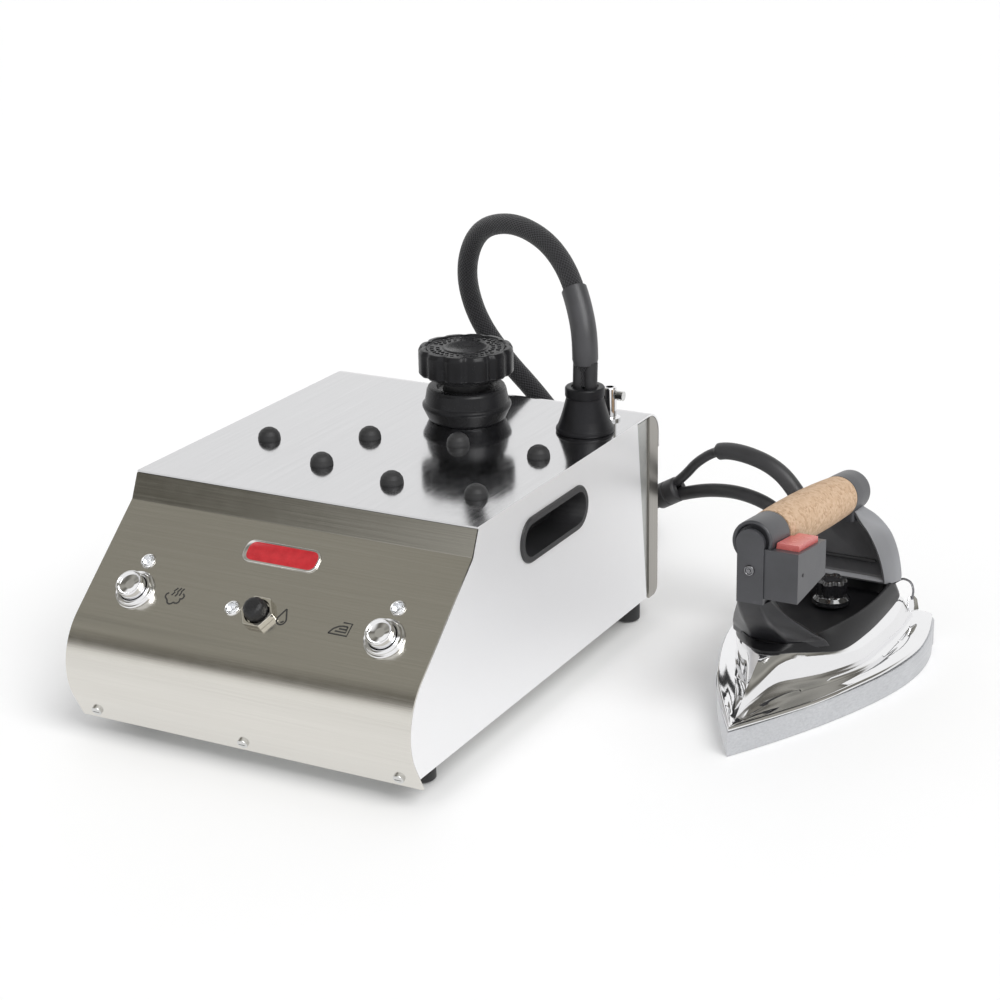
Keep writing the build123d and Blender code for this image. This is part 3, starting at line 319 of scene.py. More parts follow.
# The cover's sides get a lighter painted highlight tint.
POLISHED = steel("cover_polished_steel", ((0.61, 0.61, 0.62), (0.68, 0.68, 0.69)), 0.10, (1200, 12, 1200),
                 0.000003, side=(0.89, 0.89, 0.90))
FASTENER = steel("fastener_steel", ((0.62, 0.62, 0.61), (0.75, 0.75, 0.74)), 0.22, (900, 900, 900))
CHASSIS = steel("chassis_zinc_steel", ((0.50, 0.51, 0.50), (0.60, 0.60, 0.58)), 0.42, (260, 260, 260))
CHROME = chrome("bright_chrome")
NICKEL = chrome("nickel_nut", (0.80, 0.77, 0.70), 0.12)
BLACK = plastic("black_moulded_plastic", (0.016, 0.016, 0.017), (0.026, 0.026, 0.028), 0.42)
CONE_BLACK = plastic("black_cone_plastic", (0.008, 0.008, 0.009), (0.016, 0.016, 0.019), 0.34, 3200.0,
                     0.00005, 0.2)
GREY = plastic("charcoal_handle_plastic", (0.038, 0.039, 0.044), (0.056, 0.057, 0.064), 0.38, specular=0.6)
SKIRT = plastic("heat_shield_plastic", (0.007, 0.007, 0.008), (0.013, 0.013, 0.014), 0.34, specular=0.25)
HORN_GREY = plastic("horn_plastic", (0.012, 0.012, 0.014), (0.021, 0.021, 0.024), 0.36, specular=0.4)
# The heel shield's rounded rim gets a lighter painted highlight tint.
SHIELD_GREY = plastic("heel_shield_plastic", (0.060, 0.060, 0.063), (0.085, 0.085, 0.090), 0.36,
                      painted_rim_highlight=(0.30, 0.305, 0.32))
GLOSS = plastic("gloss_black_plastic", (0.008, 0.008, 0.009), (0.014, 0.014, 0.016), 0.10, 900.0, 0.00001,
                0.6, 0.8)
RUBBER = plastic("black_rubber", (0.020, 0.020, 0.021), (0.034, 0.034, 0.035), 0.55, 1800.0, 0.00005, 0.4)
BOOT = plastic("grained_rubber", (0.006, 0.006, 0.007), (0.016, 0.016, 0.018), 0.42, 950.0, 0.00045, 0.5)
SLEEVE = plastic("grey_heat_sleeve", (0.042, 0.042, 0.045), (0.062, 0.062, 0.068), 0.40, 1500.0, 0.00006)
RED = plastic("red_button_plastic", (0.57, 0.120, 0.112), (0.66, 0.175, 0.160), 0.26, 1800.0, 0.00002)
CAP_BLACK = plastic("cap_moulded_plastic", (0.010, 0.010, 0.011), (0.020, 0.020, 0.022), 0.26, 2200.0,
                    0.00003, 0.18)
BADGE_SILVER = chrome("badge_silver", (0.90, 0.90, 0.90), 0.12)
DARK_STEEL = chrome("dark_screw_steel", (0.22, 0.22, 0.23), 0.25)
BRASS = chrome("turned_brass", (0.62, 0.46, 0.20), 0.25)
BOARD = plastic("board_laminate", (0.03, 0.16, 0.06), (0.05, 0.22, 0.09), 0.45)
BRAID = braid_material("hose_braid", (0.006, 0.006, 0.007), (0.036, 0.036, 0.040), 0.0016)
LEAD = plastic("black_lead_rubber", (0.014, 0.014, 0.015), (0.026, 0.026, 0.029), 0.45, 1500.0, 0.00008)
LEAD_SLEEVE = plastic("lead_sleeve_rubber", (0.026, 0.026, 0.028), (0.042, 0.042, 0.045), 0.42, 1200.0,
                      0.00010)
CORK = cork_material()
SOLE = aluminium_material()
LENS = lens_material()
INK = ink_material()
ENAMEL = enamel_material()


# ---------------------------------------------------------------- mesh helpers
def finish_piece(mesh, name, material, body, replaces=(), smooth=35.0, slot=None):
    """Turn mesh data in cabinet millimetres into a piece that rides on a body."""
    mesh.transform(Matrix.Scale(MM, 4) @ Matrix.Translation(-ORIGIN))
    for polygon in mesh.polygons:
        polygon.use_smooth = True
    mesh.set_sharp_from_angle(angle=math.radians(smooth))
    piece = bpy.data.objects.new(name, mesh)
    bpy.context.scene.collection.objects.link(piece)
    mesh.materials.append(material)
    if body:
        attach(piece, body)
    if replaces:
        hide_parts(*replaces)
    return piece


def mesh_from(build):
    """Mesh made by a function that fills a bmesh."""
    work = bmesh.new()
    build(work)
    bmesh.ops.remove_doubles(work, verts=work.verts, dist=0.0005)
    bmesh.ops.recalc_face_normals(work, faces=work.faces)
    mesh = bpy.data.meshes.new("mesh")
    work.to_mesh(mesh)
    work.free()
    return mesh


def rounded(points, radii, steps=5, closed=True):
    """Round the corners of a 2-D outline. radii is one number or one per corner."""
    count = len(points)
    if isinstance(radii, (int, float)):
        radii = [radii] * count
    result = []
    for i, (point, radius) in enumerate(zip(points, radii)):
        here = Vector(point)
        if radius <= 0 or (not closed and i in (0, count - 1)):
            result.append(tuple(here))
            continue
        before, after = Vector(points[i - 1]) - here, Vector(points[(i + 1) % count]) - here
        angle = before.angle(after)
        if angle > math.pi - 0.02:
            result.append(tuple(here))
            continue
        reach = min(radius / math.tan(angle / 2), 0.49 * before.length, 0.49 * after.length)
        start, end = here + before.normalized() * reach, here + after.normalized() * reach
        for k in range(steps + 1):
            t = k / steps
            a, b = start.lerp(here, t), here.lerp(end, t)
            result.append(tuple(a.lerp(b, t)))
    return result


def add_ring(work, points):
    return [work.verts.new(point) for point in points]


def bridge(work, rings):
    """Skin between closed rings of equal count."""
    for lower, upper in zip(rings, rings[1:]):
        count = len(lower)
        for i in range(count):
            j = (i + 1) % count
            work.faces.new((lower[i], lower[j], upper[j], upper[i]))


def lathe(work, profile, place=Matrix(), segments=72, wobble=None):
    """Turn a (radius, height) outline about local Z."""
    rings = []
    for radius, height in profile:
        ring = []
        for i in range(segments):
            angle = 2 * math.pi * i / segments
            r = radius if wobble is None else radius * wobble(angle, height)
            ring.append(place @ Vector((r * math.cos(angle), r * math.sin(angle), height)))
        rings.append(add_ring(work, ring))
    bridge(work, rings)


def lathe_piece(name, profile, material, body, place=Matrix(), segments=72, closed=True, wobble=None,
                **options):
    """Turned piece. With closed, the outline's end joins its start."""
    outline = [*profile, profile[0]] if closed else profile
    mesh = mesh_from(lambda work: lathe(work, outline, place, segments, wobble))
    return finish_piece(mesh, name, material, body, **options)


def slab(work, outline, low, high, place=Matrix(), edge=0.0, steps=3):
    """Plate with a rounded edge: a 2-D outline from low to high along local Z."""
    count = len(outline)
    area = sum(outline[i - 1][0] * outline[i][1] - outline[i][0] * outline[i - 1][1] for i in range(count))
    if area < 0:
        outline = list(reversed(outline))

    def shifted(inset):
        if inset <= 0:
            return [Vector(p) for p in outline]
        ring = []
        for i in range(count):
            here = Vector(outline[i])
            a, b = here - Vector(outline[i - 1]), Vector(outline[(i + 1) % count]) - here
            na, nb = Vector((-a.y, a.x)).normalized(), Vector((-b.y, b.x)).normalized()
            scale = 1 / max(0.35, 1 + na.dot(nb))
            ring.append(here + (na + nb) * (inset * scale))
        return ring

    levels = [(0.0, low)]
    if edge > 0:
        turns = [math.pi / 2 * k / steps for k in range(steps + 1)]
        levels = [(edge * (1 - math.sin(turn)), low + edge * (1 - math.cos(turn))) for turn in turns]
    levels += [(inset, high - (height - low)) for inset, height in reversed(levels)]
    rings = []
    for inset, height in levels:
        rings.append(add_ring(work, [place @ Vector((p.x, p.y, height)) for p in shifted(inset)]))
    bridge(work, rings)
    work.faces.new(rings[0])
    work.faces.new(rings[-1])


def slab_piece(name, outline, low, high, material, body, place=Matrix(), edge=0.0, **options):
    mesh = mesh_from(lambda work: slab(work, outline, low, high, place, edge))
    return finish_piece(mesh, name, material, body, **options)


def rectangle(width, length, radius=0.0, centre=(0.0, 0.0), steps=5):
    x, y = centre
    corners = [(x + a * width / 2, y + b * length / 2) for a, b in ((-1, -1), (1, -1), (1, 1), (-1, 1))]
    return rounded(corners, radius, steps) if radius else corners


def smooth_line(points, count):
    """Catmull-Rom line through points of any dimension, with count points."""
    points = [Vector(p) for p in points]
    last = len(points) - 1
    result = []
    for k in range(count):
        t = last * k / (count - 1)
        i = min(int(t), last - 1)
        f = t - i
        p1, p2 = points[i], points[i + 1]
        p0 = points[i - 1] if i > 0 else p1 * 2 - p2
        p3 = points[i + 2] if i + 2 <= last else p2 * 2 - p1
        result.append(0.5 * ((2 * p1) + (p2 - p0) * f + (2 * p0 - 5 * p1 + 4 * p2 - p3) * f**2
                             + (3 * p1 - p0 - 3 * p2 + p3) * f**3))
    return result


def frames_along(points):
    """Parallel-transported (side, up) pairs along a line."""
    tangents = []
    for i in range(len(points)):
        tangents.append((points[min(i + 1, len(points) - 1)] - points[max(i - 1, 0)]).normalized())
    side = tangents[0].orthogonal().normalized()
    result = []
    for tangent in tangents:
        side = (side - tangent * side.dot(tangent)).normalized()
        result.append((side, tangent.cross(side)))
    return result


def lengths_along(points):
    lengths = [0.0]
    for a, b in zip(points, points[1:]):
        lengths.append(lengths[-1] + (b - a).length)
    return lengths


def tube_mesh(points, radius, sides=28):
    """Tube in cabinet millimetres with UVs in metres: along it, and round it.

    radius may be a function of the length travelled.
    """
    work = bmesh.new()
    uv = work.loops.layers.uv.new("UVMap")
    lengths = lengths_along(points)
    size = radius if callable(radius) else lambda travel: radius
    turns = [2 * math.pi * i / sides for i in range(sides)]
    rings = []
    for point, (side, up), length in zip(points, frames_along(points), lengths):
        r = size(length)
        rings.append([work.verts.new(point + (side * math.cos(turn) + up * math.sin(turn)) * r)
                      for turn in turns])
    girth = 2 * math.pi * size(lengths[-1] / 2)
    for k in range(len(rings) - 1):
        for i in range(sides):
            j = (i + 1) % sides
            face = work.faces.new((rings[k][i], rings[k][j], rings[k + 1][j], rings[k + 1][i]))
            for loop, (row, column) in zip(face.loops, ((k, i), (k, i + 1), (k + 1, i + 1), (k + 1, i))):
                loop[uv].uv = (lengths[row] * MM, girth * column / sides * MM)
    for ring in (rings[0], rings[-1]):
        work.faces.new(ring)
    bmesh.ops.recalc_face_normals(work, faces=work.faces)
    mesh = bpy.data.meshes.new("tube")
    work.to_mesh(mesh)
    work.free()
    return mesh


def route_points(route, name):
    """Smooth line of a route: a NURBS spline with the route's points as its control points."""
    curve = bpy.data.curves.new(name, "CURVE")
    curve.dimensions = "3D"
    curve.resolution_u = 10
    spline = curve.splines.new("NURBS")
    spline.points.add(len(route) - 1)
    for target, point in zip(spline.points, route):
        target.co = (*at(*point), 1.0)
    spline.order_u = 3
    spline.use_endpoint_u = True
    holder = bpy.data.objects.new(name, curve)
    line = bpy.data.meshes.new_from_object(holder)
    points = [vertex.co.copy() for vertex in line.vertices]
    bpy.data.objects.remove(holder)
    bpy.data.meshes.remove(line)
    return points


# ---------------------------------------------------------------- hose and leads
HOSE_DIAMETER, POWER_DIAMETER, STEAM_DIAMETER = 13.0, 10.8, 8.8
HOSE_ROUTE = [
    (92, 181, 170.5), (92, 183, 194), (85, 190, 216), (69.5, 202.5, 238), (49, 211.5, 253),
    (20, 221.5, 258.5), (-8, 230, 249), (-22, 237, 220), (-18, 243, 188), (0, 247, 161),
    (22, 252, 137), (41, 258, 110), (48, 267, 80), (50, 280, 53), (50, 302, 23), (52, 330, 10),
]
TAIL_ROUTE = [
    (-26, 270, 19.5), (6, 268, 21.5), (34, 267.5, 29), (60, 267.5, 43.5), (83, 267, 60.5),
    (104, 264.5, 73),
]
POWER_ROUTE = [
    (117.9, 262.5, 86.3), (124.6, 260.8, 92.4), (134, 258.5, 104), (150, 255.5, 115), (169, 251.8, 116.5),
    (190, 248.5, 112), (204.5, 246.8, 101), (213.5, 246.3, 87),
]
STEAM_ROUTE = [
    (122.0, 262.2, 78.9), (132, 259.6, 83), (148, 256, 87.5), (166, 252.5, 89.5), (184, 249.5, 87),
    (196, 247.8, 81), (204, 247, 73),
]
Y_SLEEVE = [Vector((104.4, 264.46, 73.23)), Vector((120, 262.5, 82.4))]
COIL_CENTRE = (-30.0, 345.0)
# Angle in degrees, radius and height of the put-away coil: two turns side by side, and one on them.
COIL_LEVELS = [
    (12, 82.6, 8.4), (40, 82.6, 7.8), (290, 82.6, 7.8), (345, 69.0, 7.8), (375, 69.0, 7.8),
    (640, 69.0, 7.8), (692, 72.0, 20.6), (745, 71.5, 21.0), (790, 75.8, 20.2), (972, 75.8, 20.2),
    (994, 75.1, 19.5),
]
TIE_ANGLE, TIE_HALF_WIDTH, TIE_INNER, TIE_OUTER = math.radians(160), 8, 6.6, 7.5
# Radius and height of the three turns that pass the tie.
TIED_TURNS = (Vector((69.0, 7.8)), Vector((82.6, 7.8)), Vector((75.8, 20.2)))
CONE_PLACE = Matrix.Translation((92.0, 181.0, 0.0))


def coil_points():
    points = []
    for angle in (*range(12, 976, 24), 984, 994):
        for (a0, r0, z0), (a1, r1, z1) in zip(COIL_LEVELS, COIL_LEVELS[1:]):
            if a0 <= angle <= a1:
                t = (angle - a0) / (a1 - a0)
                t = t * t * (3 - 2 * t)
                radius, height = r0 + (r1 - r0) * t, z0 + (z1 - z0) * t
        x, y = radius * math.cos(math.radians(angle)), radius * math.sin(math.radians(angle))
        points.append((COIL_CENTRE[0] + x, COIL_CENTRE[1] + y, height))
    return points


def cord_piece(name, route, radius, material, body, replaces, sides=28):
    """Tube along a route. Returns the piece and its line in metres."""
    line = route_points(route, name)
    local = [point / MM + ORIGIN for point in line]
    return finish_piece(tube_mesh(local, radius, sides), name, material, body, replaces, 60), line


def make_cuff(line):
    """Heat sleeve over the hose's first run, from its cone."""
    local = [p / MM + ORIGIN for p in line]
    covered = [p for p, travel in zip(local, lengths_along(local)) if 9.0 <= travel <= 62.0]

    def radius(travel):
        edge = min(travel, 51.0 - travel)
        return 8.0 - 0.9 * max(0.0, 1 - edge / 0.8) ** 2

    return finish_piece(tube_mesh(covered, radius, 40), "hose_cuff", SLEEVE, "cabinet", smooth=50)


def make_tie():
    """Band pulled tight round the three turns that pass it."""
    def build(work):
        section = ((TIE_INNER, -TIE_HALF_WIDTH), (TIE_OUTER, -TIE_HALF_WIDTH), (TIE_OUTER, TIE_HALF_WIDTH),
                   (TIE_INNER, TIE_HALF_WIDTH), (TIE_INNER, -TIE_HALF_WIDTH))
        rings = []
        for reach, offset in section:
            ring = []
            for k in range(60):
                out = Vector((math.cos(math.pi * k / 30), math.sin(math.pi * k / 30)))
                radius, height = max(TIED_TURNS, key=out.dot) + out * reach
                x = radius * math.cos(TIE_ANGLE) - offset * math.sin(TIE_ANGLE)
                y = radius * math.sin(TIE_ANGLE) + offset * math.cos(TIE_ANGLE)
                ring.append((COIL_CENTRE[0] + x, COIL_CENTRE[1] + y, height))
            rings.append(add_ring(work, ring))
        bridge(work, rings)

    return finish_piece(mesh_from(build), "hose_tie", RUBBER, "cabinet")


def make_junction():
    """Sleeve where the hose parts into the two leads."""
    start, end = Y_SLEEVE
    length = (end - start).length
    turn = (end - start).normalized().to_track_quat("Z", "Y").to_matrix().to_4x4()
    profile = rounded([(6.0, -0.1), (7.7, -0.1), (8.2, 1.2), (8.2, length * 0.45), (7.6, length * 0.5),
                       (8.2, length * 0.55), (8.2, length - 1.5), (7.0, length), (3.0, length),
                       (3.0, 1.0)], 0.5, 3)
    return lathe_piece("lead_junction", profile, LEAD_SLEEVE, "iron", Matrix.Translation(start) @ turn, 48,
                       replaces=("y_sleeve",), slot="black_rubber")


def make_cords():
    hose = cord_piece("hose", HOSE_ROUTE + coil_points(),
                      lambda travel: 3.4 if travel < 12.5 else HOSE_DIAMETER / 2, BRAID, "cabinet",
                      ("hose_root", "hose_sleeve", "hose_main", "hose_coil"), 36)
    tail = cord_piece("hose_tail_length", TAIL_ROUTE, HOSE_DIAMETER / 2, BRAID, None, ("hose_tail",), 36)
    cuff, tie, junction = make_cuff(hose[1]), make_tie(), make_junction()
    power = cord_piece("power_lead_length", POWER_ROUTE,
                       lambda travel: 3.2 + 2.3 * min(1.0, max(0.0, travel - 42.0)), LEAD_SLEEVE, "iron",
                       ("power_lead", "power_lead_sleeve"))
    steam = cord_piece("steam_lead_length", STEAM_ROUTE, STEAM_DIAMETER / 2, LEAD, "iron", ("steam_lead",))
    for name, side in (("hose_inner_pipe", -1), ("hose_inner_cable", 1)):
        line = [Vector((92 + side * 3.9, 181 + 0.06 * k, 168.5 + k)) for k in range(18)]
        finish_piece(tube_mesh(line, 4.1, 24), name, LEAD, "cabinet", (), 50, "black_rubber")
    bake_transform(tail[0])


make_cords()


# ---------------------------------------------------------------- stage
FLOOR_REACH, FLOOR_DROP = 9.0, 0.0004
SUN_DIRECTION, SUN_ENERGY, SUN_ANGLE = Vector((0.62, -0.34, 0.80)), 1.7, math.radians(35)
EVEN_LIGHT = 0.68
# What polished metal mirrors, from the bright horizon up to the dim ceiling.
MIRRORED = [
    (0.0, (1.0, 1.0, 1.0)), (0.30, (1.0, 1.0, 1.0)), (0.40, (0.90, 0.895, 0.88)),
    (0.48, (0.28, 0.27, 0.25)), (0.56, (0.11, 0.105, 0.09)), (0.70, (0.22, 0.21, 0.185)),
    (0.82, (0.39, 0.38, 0.34)), (0.90, (0.36, 0.35, 0.315)), (1.0, (0.25, 0.245, 0.22)),
]


def make_floor():
    plane = bpy.data.meshes.new("floor")
    corners = [(x * FLOOR_REACH, y * FLOOR_REACH, 0) for x, y in ((-1, -1), (1, -1), (1, 1), (-1, 1))]
    plane.from_pydata(corners, [], [(0, 1, 2, 3)])
    floor = bpy.data.objects.new("floor", plane)
    bpy.context.scene.collection.objects.link(floor)
    floor.location.z = -FLOOR_DROP
    g = Graph("pale_floor")
    mottle = g.noise(g.coordinates(), 3.0, 3.0)
    matt = g.fed("ShaderNodeBsdfPrincipled", Roughness=0.6, Specular_IOR_Level=0.2,
                 Base_Color=g.mix(mottle, (0.93, 0.93, 0.93), (0.95, 0.95, 0.95)))
    # The polished steel sees the floor evenly lit, as on a light table.
    table = g.fed("ShaderNodeEmission", Color=(0.93, 0.93, 0.93))
    mirrored = g.math("MULTIPLY", g.fed("ShaderNodeLightPath", "Is Glossy Ray"), 0.8)
    plane.materials.append(g.finish(g.blend(mirrored, matt, table)))


def make_lights():
    data = bpy.data.lights.new("key", "SUN")
    data.energy, data.angle = SUN_ENERGY, SUN_ANGLE
    sun = bpy.data.objects.new("key", data)
    sun.rotation_euler = SUN_DIRECTION.to_track_quat("Z", "Y").to_euler()
    bpy.context.scene.collection.objects.link(sun)

    # Even light on matt surfaces, and a studio's bright horizon and dim ceiling in the polished ones.
    g = Graph("studio", "worlds", "ShaderNodeOutputWorld")
    x, y, z = (g.axis(letter, "Generated") for letter in "XYZ")
    # Height of the bright zone's edge: behind, it drops towards the right; in front, towards the left.
    behind = g.math("MULTIPLY_ADD", x, 0.60, g.math("MULTIPLY_ADD", y, -0.45, z))
    before = g.math("ADD", g.math("MULTIPLY_ADD", x, -1.45, z), -0.62)
    front = g.math("SMOOTH_MIN", 1.0, g.math("MAXIMUM", g.math("MULTIPLY", y, -3.0), 0.0), 0.1)
    height = g.math("ADD", g.math("MULTIPLY", behind, g.math("SUBTRACT", 1.0, front)),
                    g.math("MULTIPLY", before, front))
    mirrored = g.fed("ShaderNodeBackground", Color=g.ramp(height, MIRRORED, "B_SPLINE"))
    even = g.fed("ShaderNodeBackground", Color=(1.0, 1.0, 1.0), Strength=EVEN_LIGHT)
    diffuse = g.fed("ShaderNodeLightPath", "Is Diffuse Ray")
    bpy.context.scene.world = g.finish(g.blend(diffuse, mirrored, even))
    bpy.context.scene.view_settings.view_transform = "Standard"


make_floor()
make_lights()


# ---------------------------------------------------------------- cabinet details
CAP_PLACE = Matrix.Translation((13.5, 172.5, 0.0))


def make_cap():
    def scallops(angle, height):
        if height < 171.5:
            return 1.0
        return 1.0 - 0.062 * (0.5 + 0.5 * math.cos(12 * angle)) ** 4

    outer = rounded([(9.9, 167.9), (19.5, 167.9), (19.5, 172.0), (28.6, 172.0), (30.0, 173.6),
                     (30.0, 186.4), (28.6, 188.9), (26.0, 189.0)], [0, 0.5, 0.4, 0.6, 1.0, 2.6, 0.8, 0.2],
                    4, closed=False)
    top = [(25.4, 188.3), (24.6, 187.9), (24.2, 188.35), (23.6, 188.35), (23.2, 187.9), (14.4, 187.9),
           (13.9, 188.5), (13.0, 188.6), (11.2, 188.0), (0.02, 187.8)]

    def build(work):
        lathe(work, outer, CAP_PLACE, 144, scallops)
        lathe(work, [outer[-1], *top], CAP_PLACE, 144)
        for row, (radius, count, wide, deep) in enumerate(((21.2, 34, 1.5, 1.2), (17.4, 28, 1.3, 1.1))):
            for i in range(count):
                if (i * 7 + row * 3) % 9 == 0:
                    continue
                turn = Matrix.Rotation(2 * math.pi * i / count, 4, "Z")
                stud = rectangle(deep * 2, wide, 0.3, (radius, 0.0), 2)
                slab(work, stud, 187.7, 188.45, CAP_PLACE @ turn, 0.15, 1)

    finish_piece(mesh_from(build), "cap_knob_detail", CAP_BLACK, "cap", ("cap_knob",), 38)
    collar = rounded([(14.8, 142.1), (23.6, 142.1), (24.6, 143.6), (27.7, 150.2), (28.0, 151.0),
                      (28.0, 152.4), (27.0, 153.4), (26.4, 153.8), (25.0, 161.6), (24.2, 162.6),
                      (24.2, 163.5), (19.0, 163.5), (17.6, 161.5), (14.8, 161.5)], 0.4, 3)
    lathe_piece("filler_collar", collar, CAP_BLACK, "cabinet", CAP_PLACE, 96, replaces=("boiler_collar",),
                smooth=32)
    neck = rounded([(10.5, 150.0), (14.4, 150.0), (14.4, 158.0), (15.4, 158.4), (15.4, 160.4),
                    (14.4, 160.8), (14.4, 166.0), (10.5, 166.0)], 0.3, 2)
    lathe_piece("filler_throat", neck, BLACK, "cabinet", CAP_PLACE, 72, slot="brass_fittings")


def make_cone():
    outline = rounded([(6.9, 142.1), (18.0, 142.1), (18.2, 143.4), (17.9, 144.6), (17.2, 145.2),
                       (15.2, 150.5), (13.4, 156.5), (12.0, 162.0), (11.6, 163.8), (11.9, 164.2),
                       (12.3, 164.8), (12.3, 169.6), (11.6, 170.5), (8.6, 170.5), (8.2, 169.4),
                       (0.02, 169.2)], 0.5, 3, closed=False)
    lathe_piece("hose_cone_detail", outline, CONE_BLACK, "cabinet", CONE_PLACE, 96, closed=False,
                replaces=("hose_cone",), smooth=30)


def panel(across, down, height=0.0):
    """Place on the sloping control panel, with local Z out of it and local Y up the slope."""
    slant = math.radians(40.4)
    up, out = Vector((0, math.cos(slant), math.sin(slant))), Vector((0, -math.sin(slant), math.cos(slant)))
    origin = Vector((across, -7.2, 126.2)) - up * down + out * height
    return Matrix.Translation(origin) @ Matrix(((1, 0, 0), up, out)).transposed().to_4x4()


def make_switches():
    ring = rounded([(8.75, 0.1), (12.3, 0.1), (12.3, 0.9), (11.9, 1.5), (11.0, 1.7), (10.7, 2.5),
                    (10.3, 3.2), (9.4, 3.5), (8.75, 3.2)], 0.22, 3)
    nut = [(9.9, -4.8), (12.6, -4.8), (12.6, -1.35), (9.9, -1.35)]
    key = rounded([(0.02, 7.2), (3.0, 7.25), (6.2, 7.9), (6.9, 9.0), (7.5, 9.4), (8.1, 9.1), (8.3, 8.4),
                   (8.3, -6.0), (0.02, -6.0)], [0, 0.5, 0.8, 0.6, 0.4, 0.4, 0.3, 0.3, 0], 4, closed=False)
    for tag, across in (("left", -83.5), ("right", 83.5)):
        place = panel(across, 57.5)

        def build(work):
            lathe(work, [*ring, ring[0]], place, 96)
            lathe(work, [*nut, nut[0]], place, 48)

        finish_piece(mesh_from(build), f"{tag}_bezel", CHROME, "cabinet", ("switch_bezels",), 30)
        lathe_piece(f"{tag}_key", key, CHROME, f"{tag}_switch", place, 96, closed=False,
                    replaces=(f"switch_button_{tag}",), smooth=30)


def make_lamps():
    dome = rounded([(0.02, 3.2), (1.6, 3.0), (2.9, 2.1), (3.3, 1.0), (3.3, 0.15), (0.02, 0.15)], 0.5, 3,
                   closed=False)
    ring = rounded([(3.4, -0.6), (3.4, 0.9), (3.8, 1.3), (4.4, 1.0), (4.8, 0.1), (4.8, -0.6)], 0.2, 2)
    cup = [(3.3, 0.1), (2.5, -0.9), (1.2, -1.6), (1.1, -0.7), (0.02, -0.6), (0.02, -3.0), (2.9, -3.0),
           (2.9, -0.6)]
    for tag, place in (("left", panel(-84, 38)), ("middle", panel(-16.4, 57)), ("right", panel(84, 38))):
        lathe_piece(f"{tag}_lamp_lens", dome, LENS, "cabinet", place, 48, closed=False,
                    replaces=("indicator_lamps",), smooth=40)
        lathe_piece(f"{tag}_lamp_cup", cup, BADGE_SILVER, "cabinet", place, 16, closed=False, smooth=12)
        lathe_piece(f"{tag}_lamp_ring", ring, CHROME, "cabinet", place, 48)


def make_reset():
    def grip(angle, height):
        return 1.0 - (0.035 if height > 2.8 else 0.0) * (0.5 + 0.5 * math.cos(10 * angle)) ** 2

    boot = rounded([(0.02, 11.3), (2.8, 11.4), (4.2, 11.2), (5.6, 10.3), (6.5, 8.9), (6.9, 7.0), (7.1, 3.1),
                    (5.2, 3.1), (5.2, -1.7), (0.02, -1.7)], 0.9, 4, closed=False)
    lathe_piece("reset_boot_detail", boot, BOOT, "reset_button", panel(2.0, 57.5), 80, False, grip,
                replaces=("reset_boot",), smooth=45)


def make_badge():
    place = panel(0.0, 19.8)
    slab_piece("badge_frame", rectangle(50.0, 14.4, 6.2, (-0.4, 0.2), 8), 0.05, 1.05, BADGE_SILVER,
               "cabinet", place, 0.35, replaces=("badge",))
    slab_piece("badge_field", rectangle(46.6, 12.0, 5.2, (0.3, 0.1), 8), 0.9, 1.2, ENAMEL, "cabinet", place,
               0.12)


def stroke(work, points, width, place, height=0.05):
    """Flat printed line through 2-D points."""
    line = [Vector(p) for p in points]
    last = len(line) - 1
    edges = []
    for i, here in enumerate(line):
        along = (line[min(i + 1, last)] - line[max(i - 1, 0)]).normalized()
        normal = Vector((-along.y, along.x)) * (width / 2)
        edges.append([work.verts.new(place @ Vector((*(here + n), height))) for n in (normal, -normal)])
    for a, b in zip(edges, edges[1:]):
        work.faces.new((a[0], b[0], b[1], a[1]))


def make_icons():
    """Steam cloud, water drop and iron, printed in thin dark lines beside their controls."""
    def arc(x, y, radius, start, end, count=10):
        turns = [math.radians(start + (end - start) * k / count) for k in range(count + 1)]
        return [(x + radius * math.cos(turn), y + radius * math.sin(turn)) for turn in turns]

    cloud = (arc(-3.9, -1.0, 1.9, 100, 250) + arc(-1.2, -3.6, 2.2, 190, 330) + arc(2.6, -2.7, 2.0, 235, 395)
             + arc(4.6, 0.2, 1.7, 290, 440))
    wisps = [[(-2.2, -0.2), (-0.8, 2.0), (-1.6, 2.6), (0.2, 5.0)],
             [(0.4, -0.6), (1.4, 1.8), (0.9, 2.6), (2.4, 5.4)],
             [(2.9, 0.4), (3.5, 2.4), (3.2, 3.2), (4.4, 5.2)]]
    drop = [(0.4, 5.6)] + arc(0.0, -1.5, 3.0, 28, -208, 28) + [(0.4, 5.6)]
    iron = [(-6.6, -3.6), (5.4, -3.6), (6.0, 4.2), (0.2, 4.2)]
    hull = [(-6.6, -3.6), (-4.4, -0.4), (-1.6, 1.4), (1.0, 2.0), (3.9, 2.0)]
    sole = [(-3.0, -1.7), (3.9, -1.7), (3.9, 2.0)]
    inner = [(-1.0, 0.1), (3.9, 0.1)]

    def print_icon(name, place, lines):
        def build(work):
            for line in lines:
                stroke(work, line, 1.0, place)

        finish_piece(mesh_from(build), name, INK, "cabinet")

    print_icon("steam_icon", panel(-56.7, 56.0), [cloud, *wisps])
    print_icon("water_icon", panel(16.9, 56.6), [drop, arc(0.1, -1.5, 1.5, -15, -95, 5)])
    print_icon("iron_icon", panel(55.0, 56.7), [iron, hull, sole, inner])


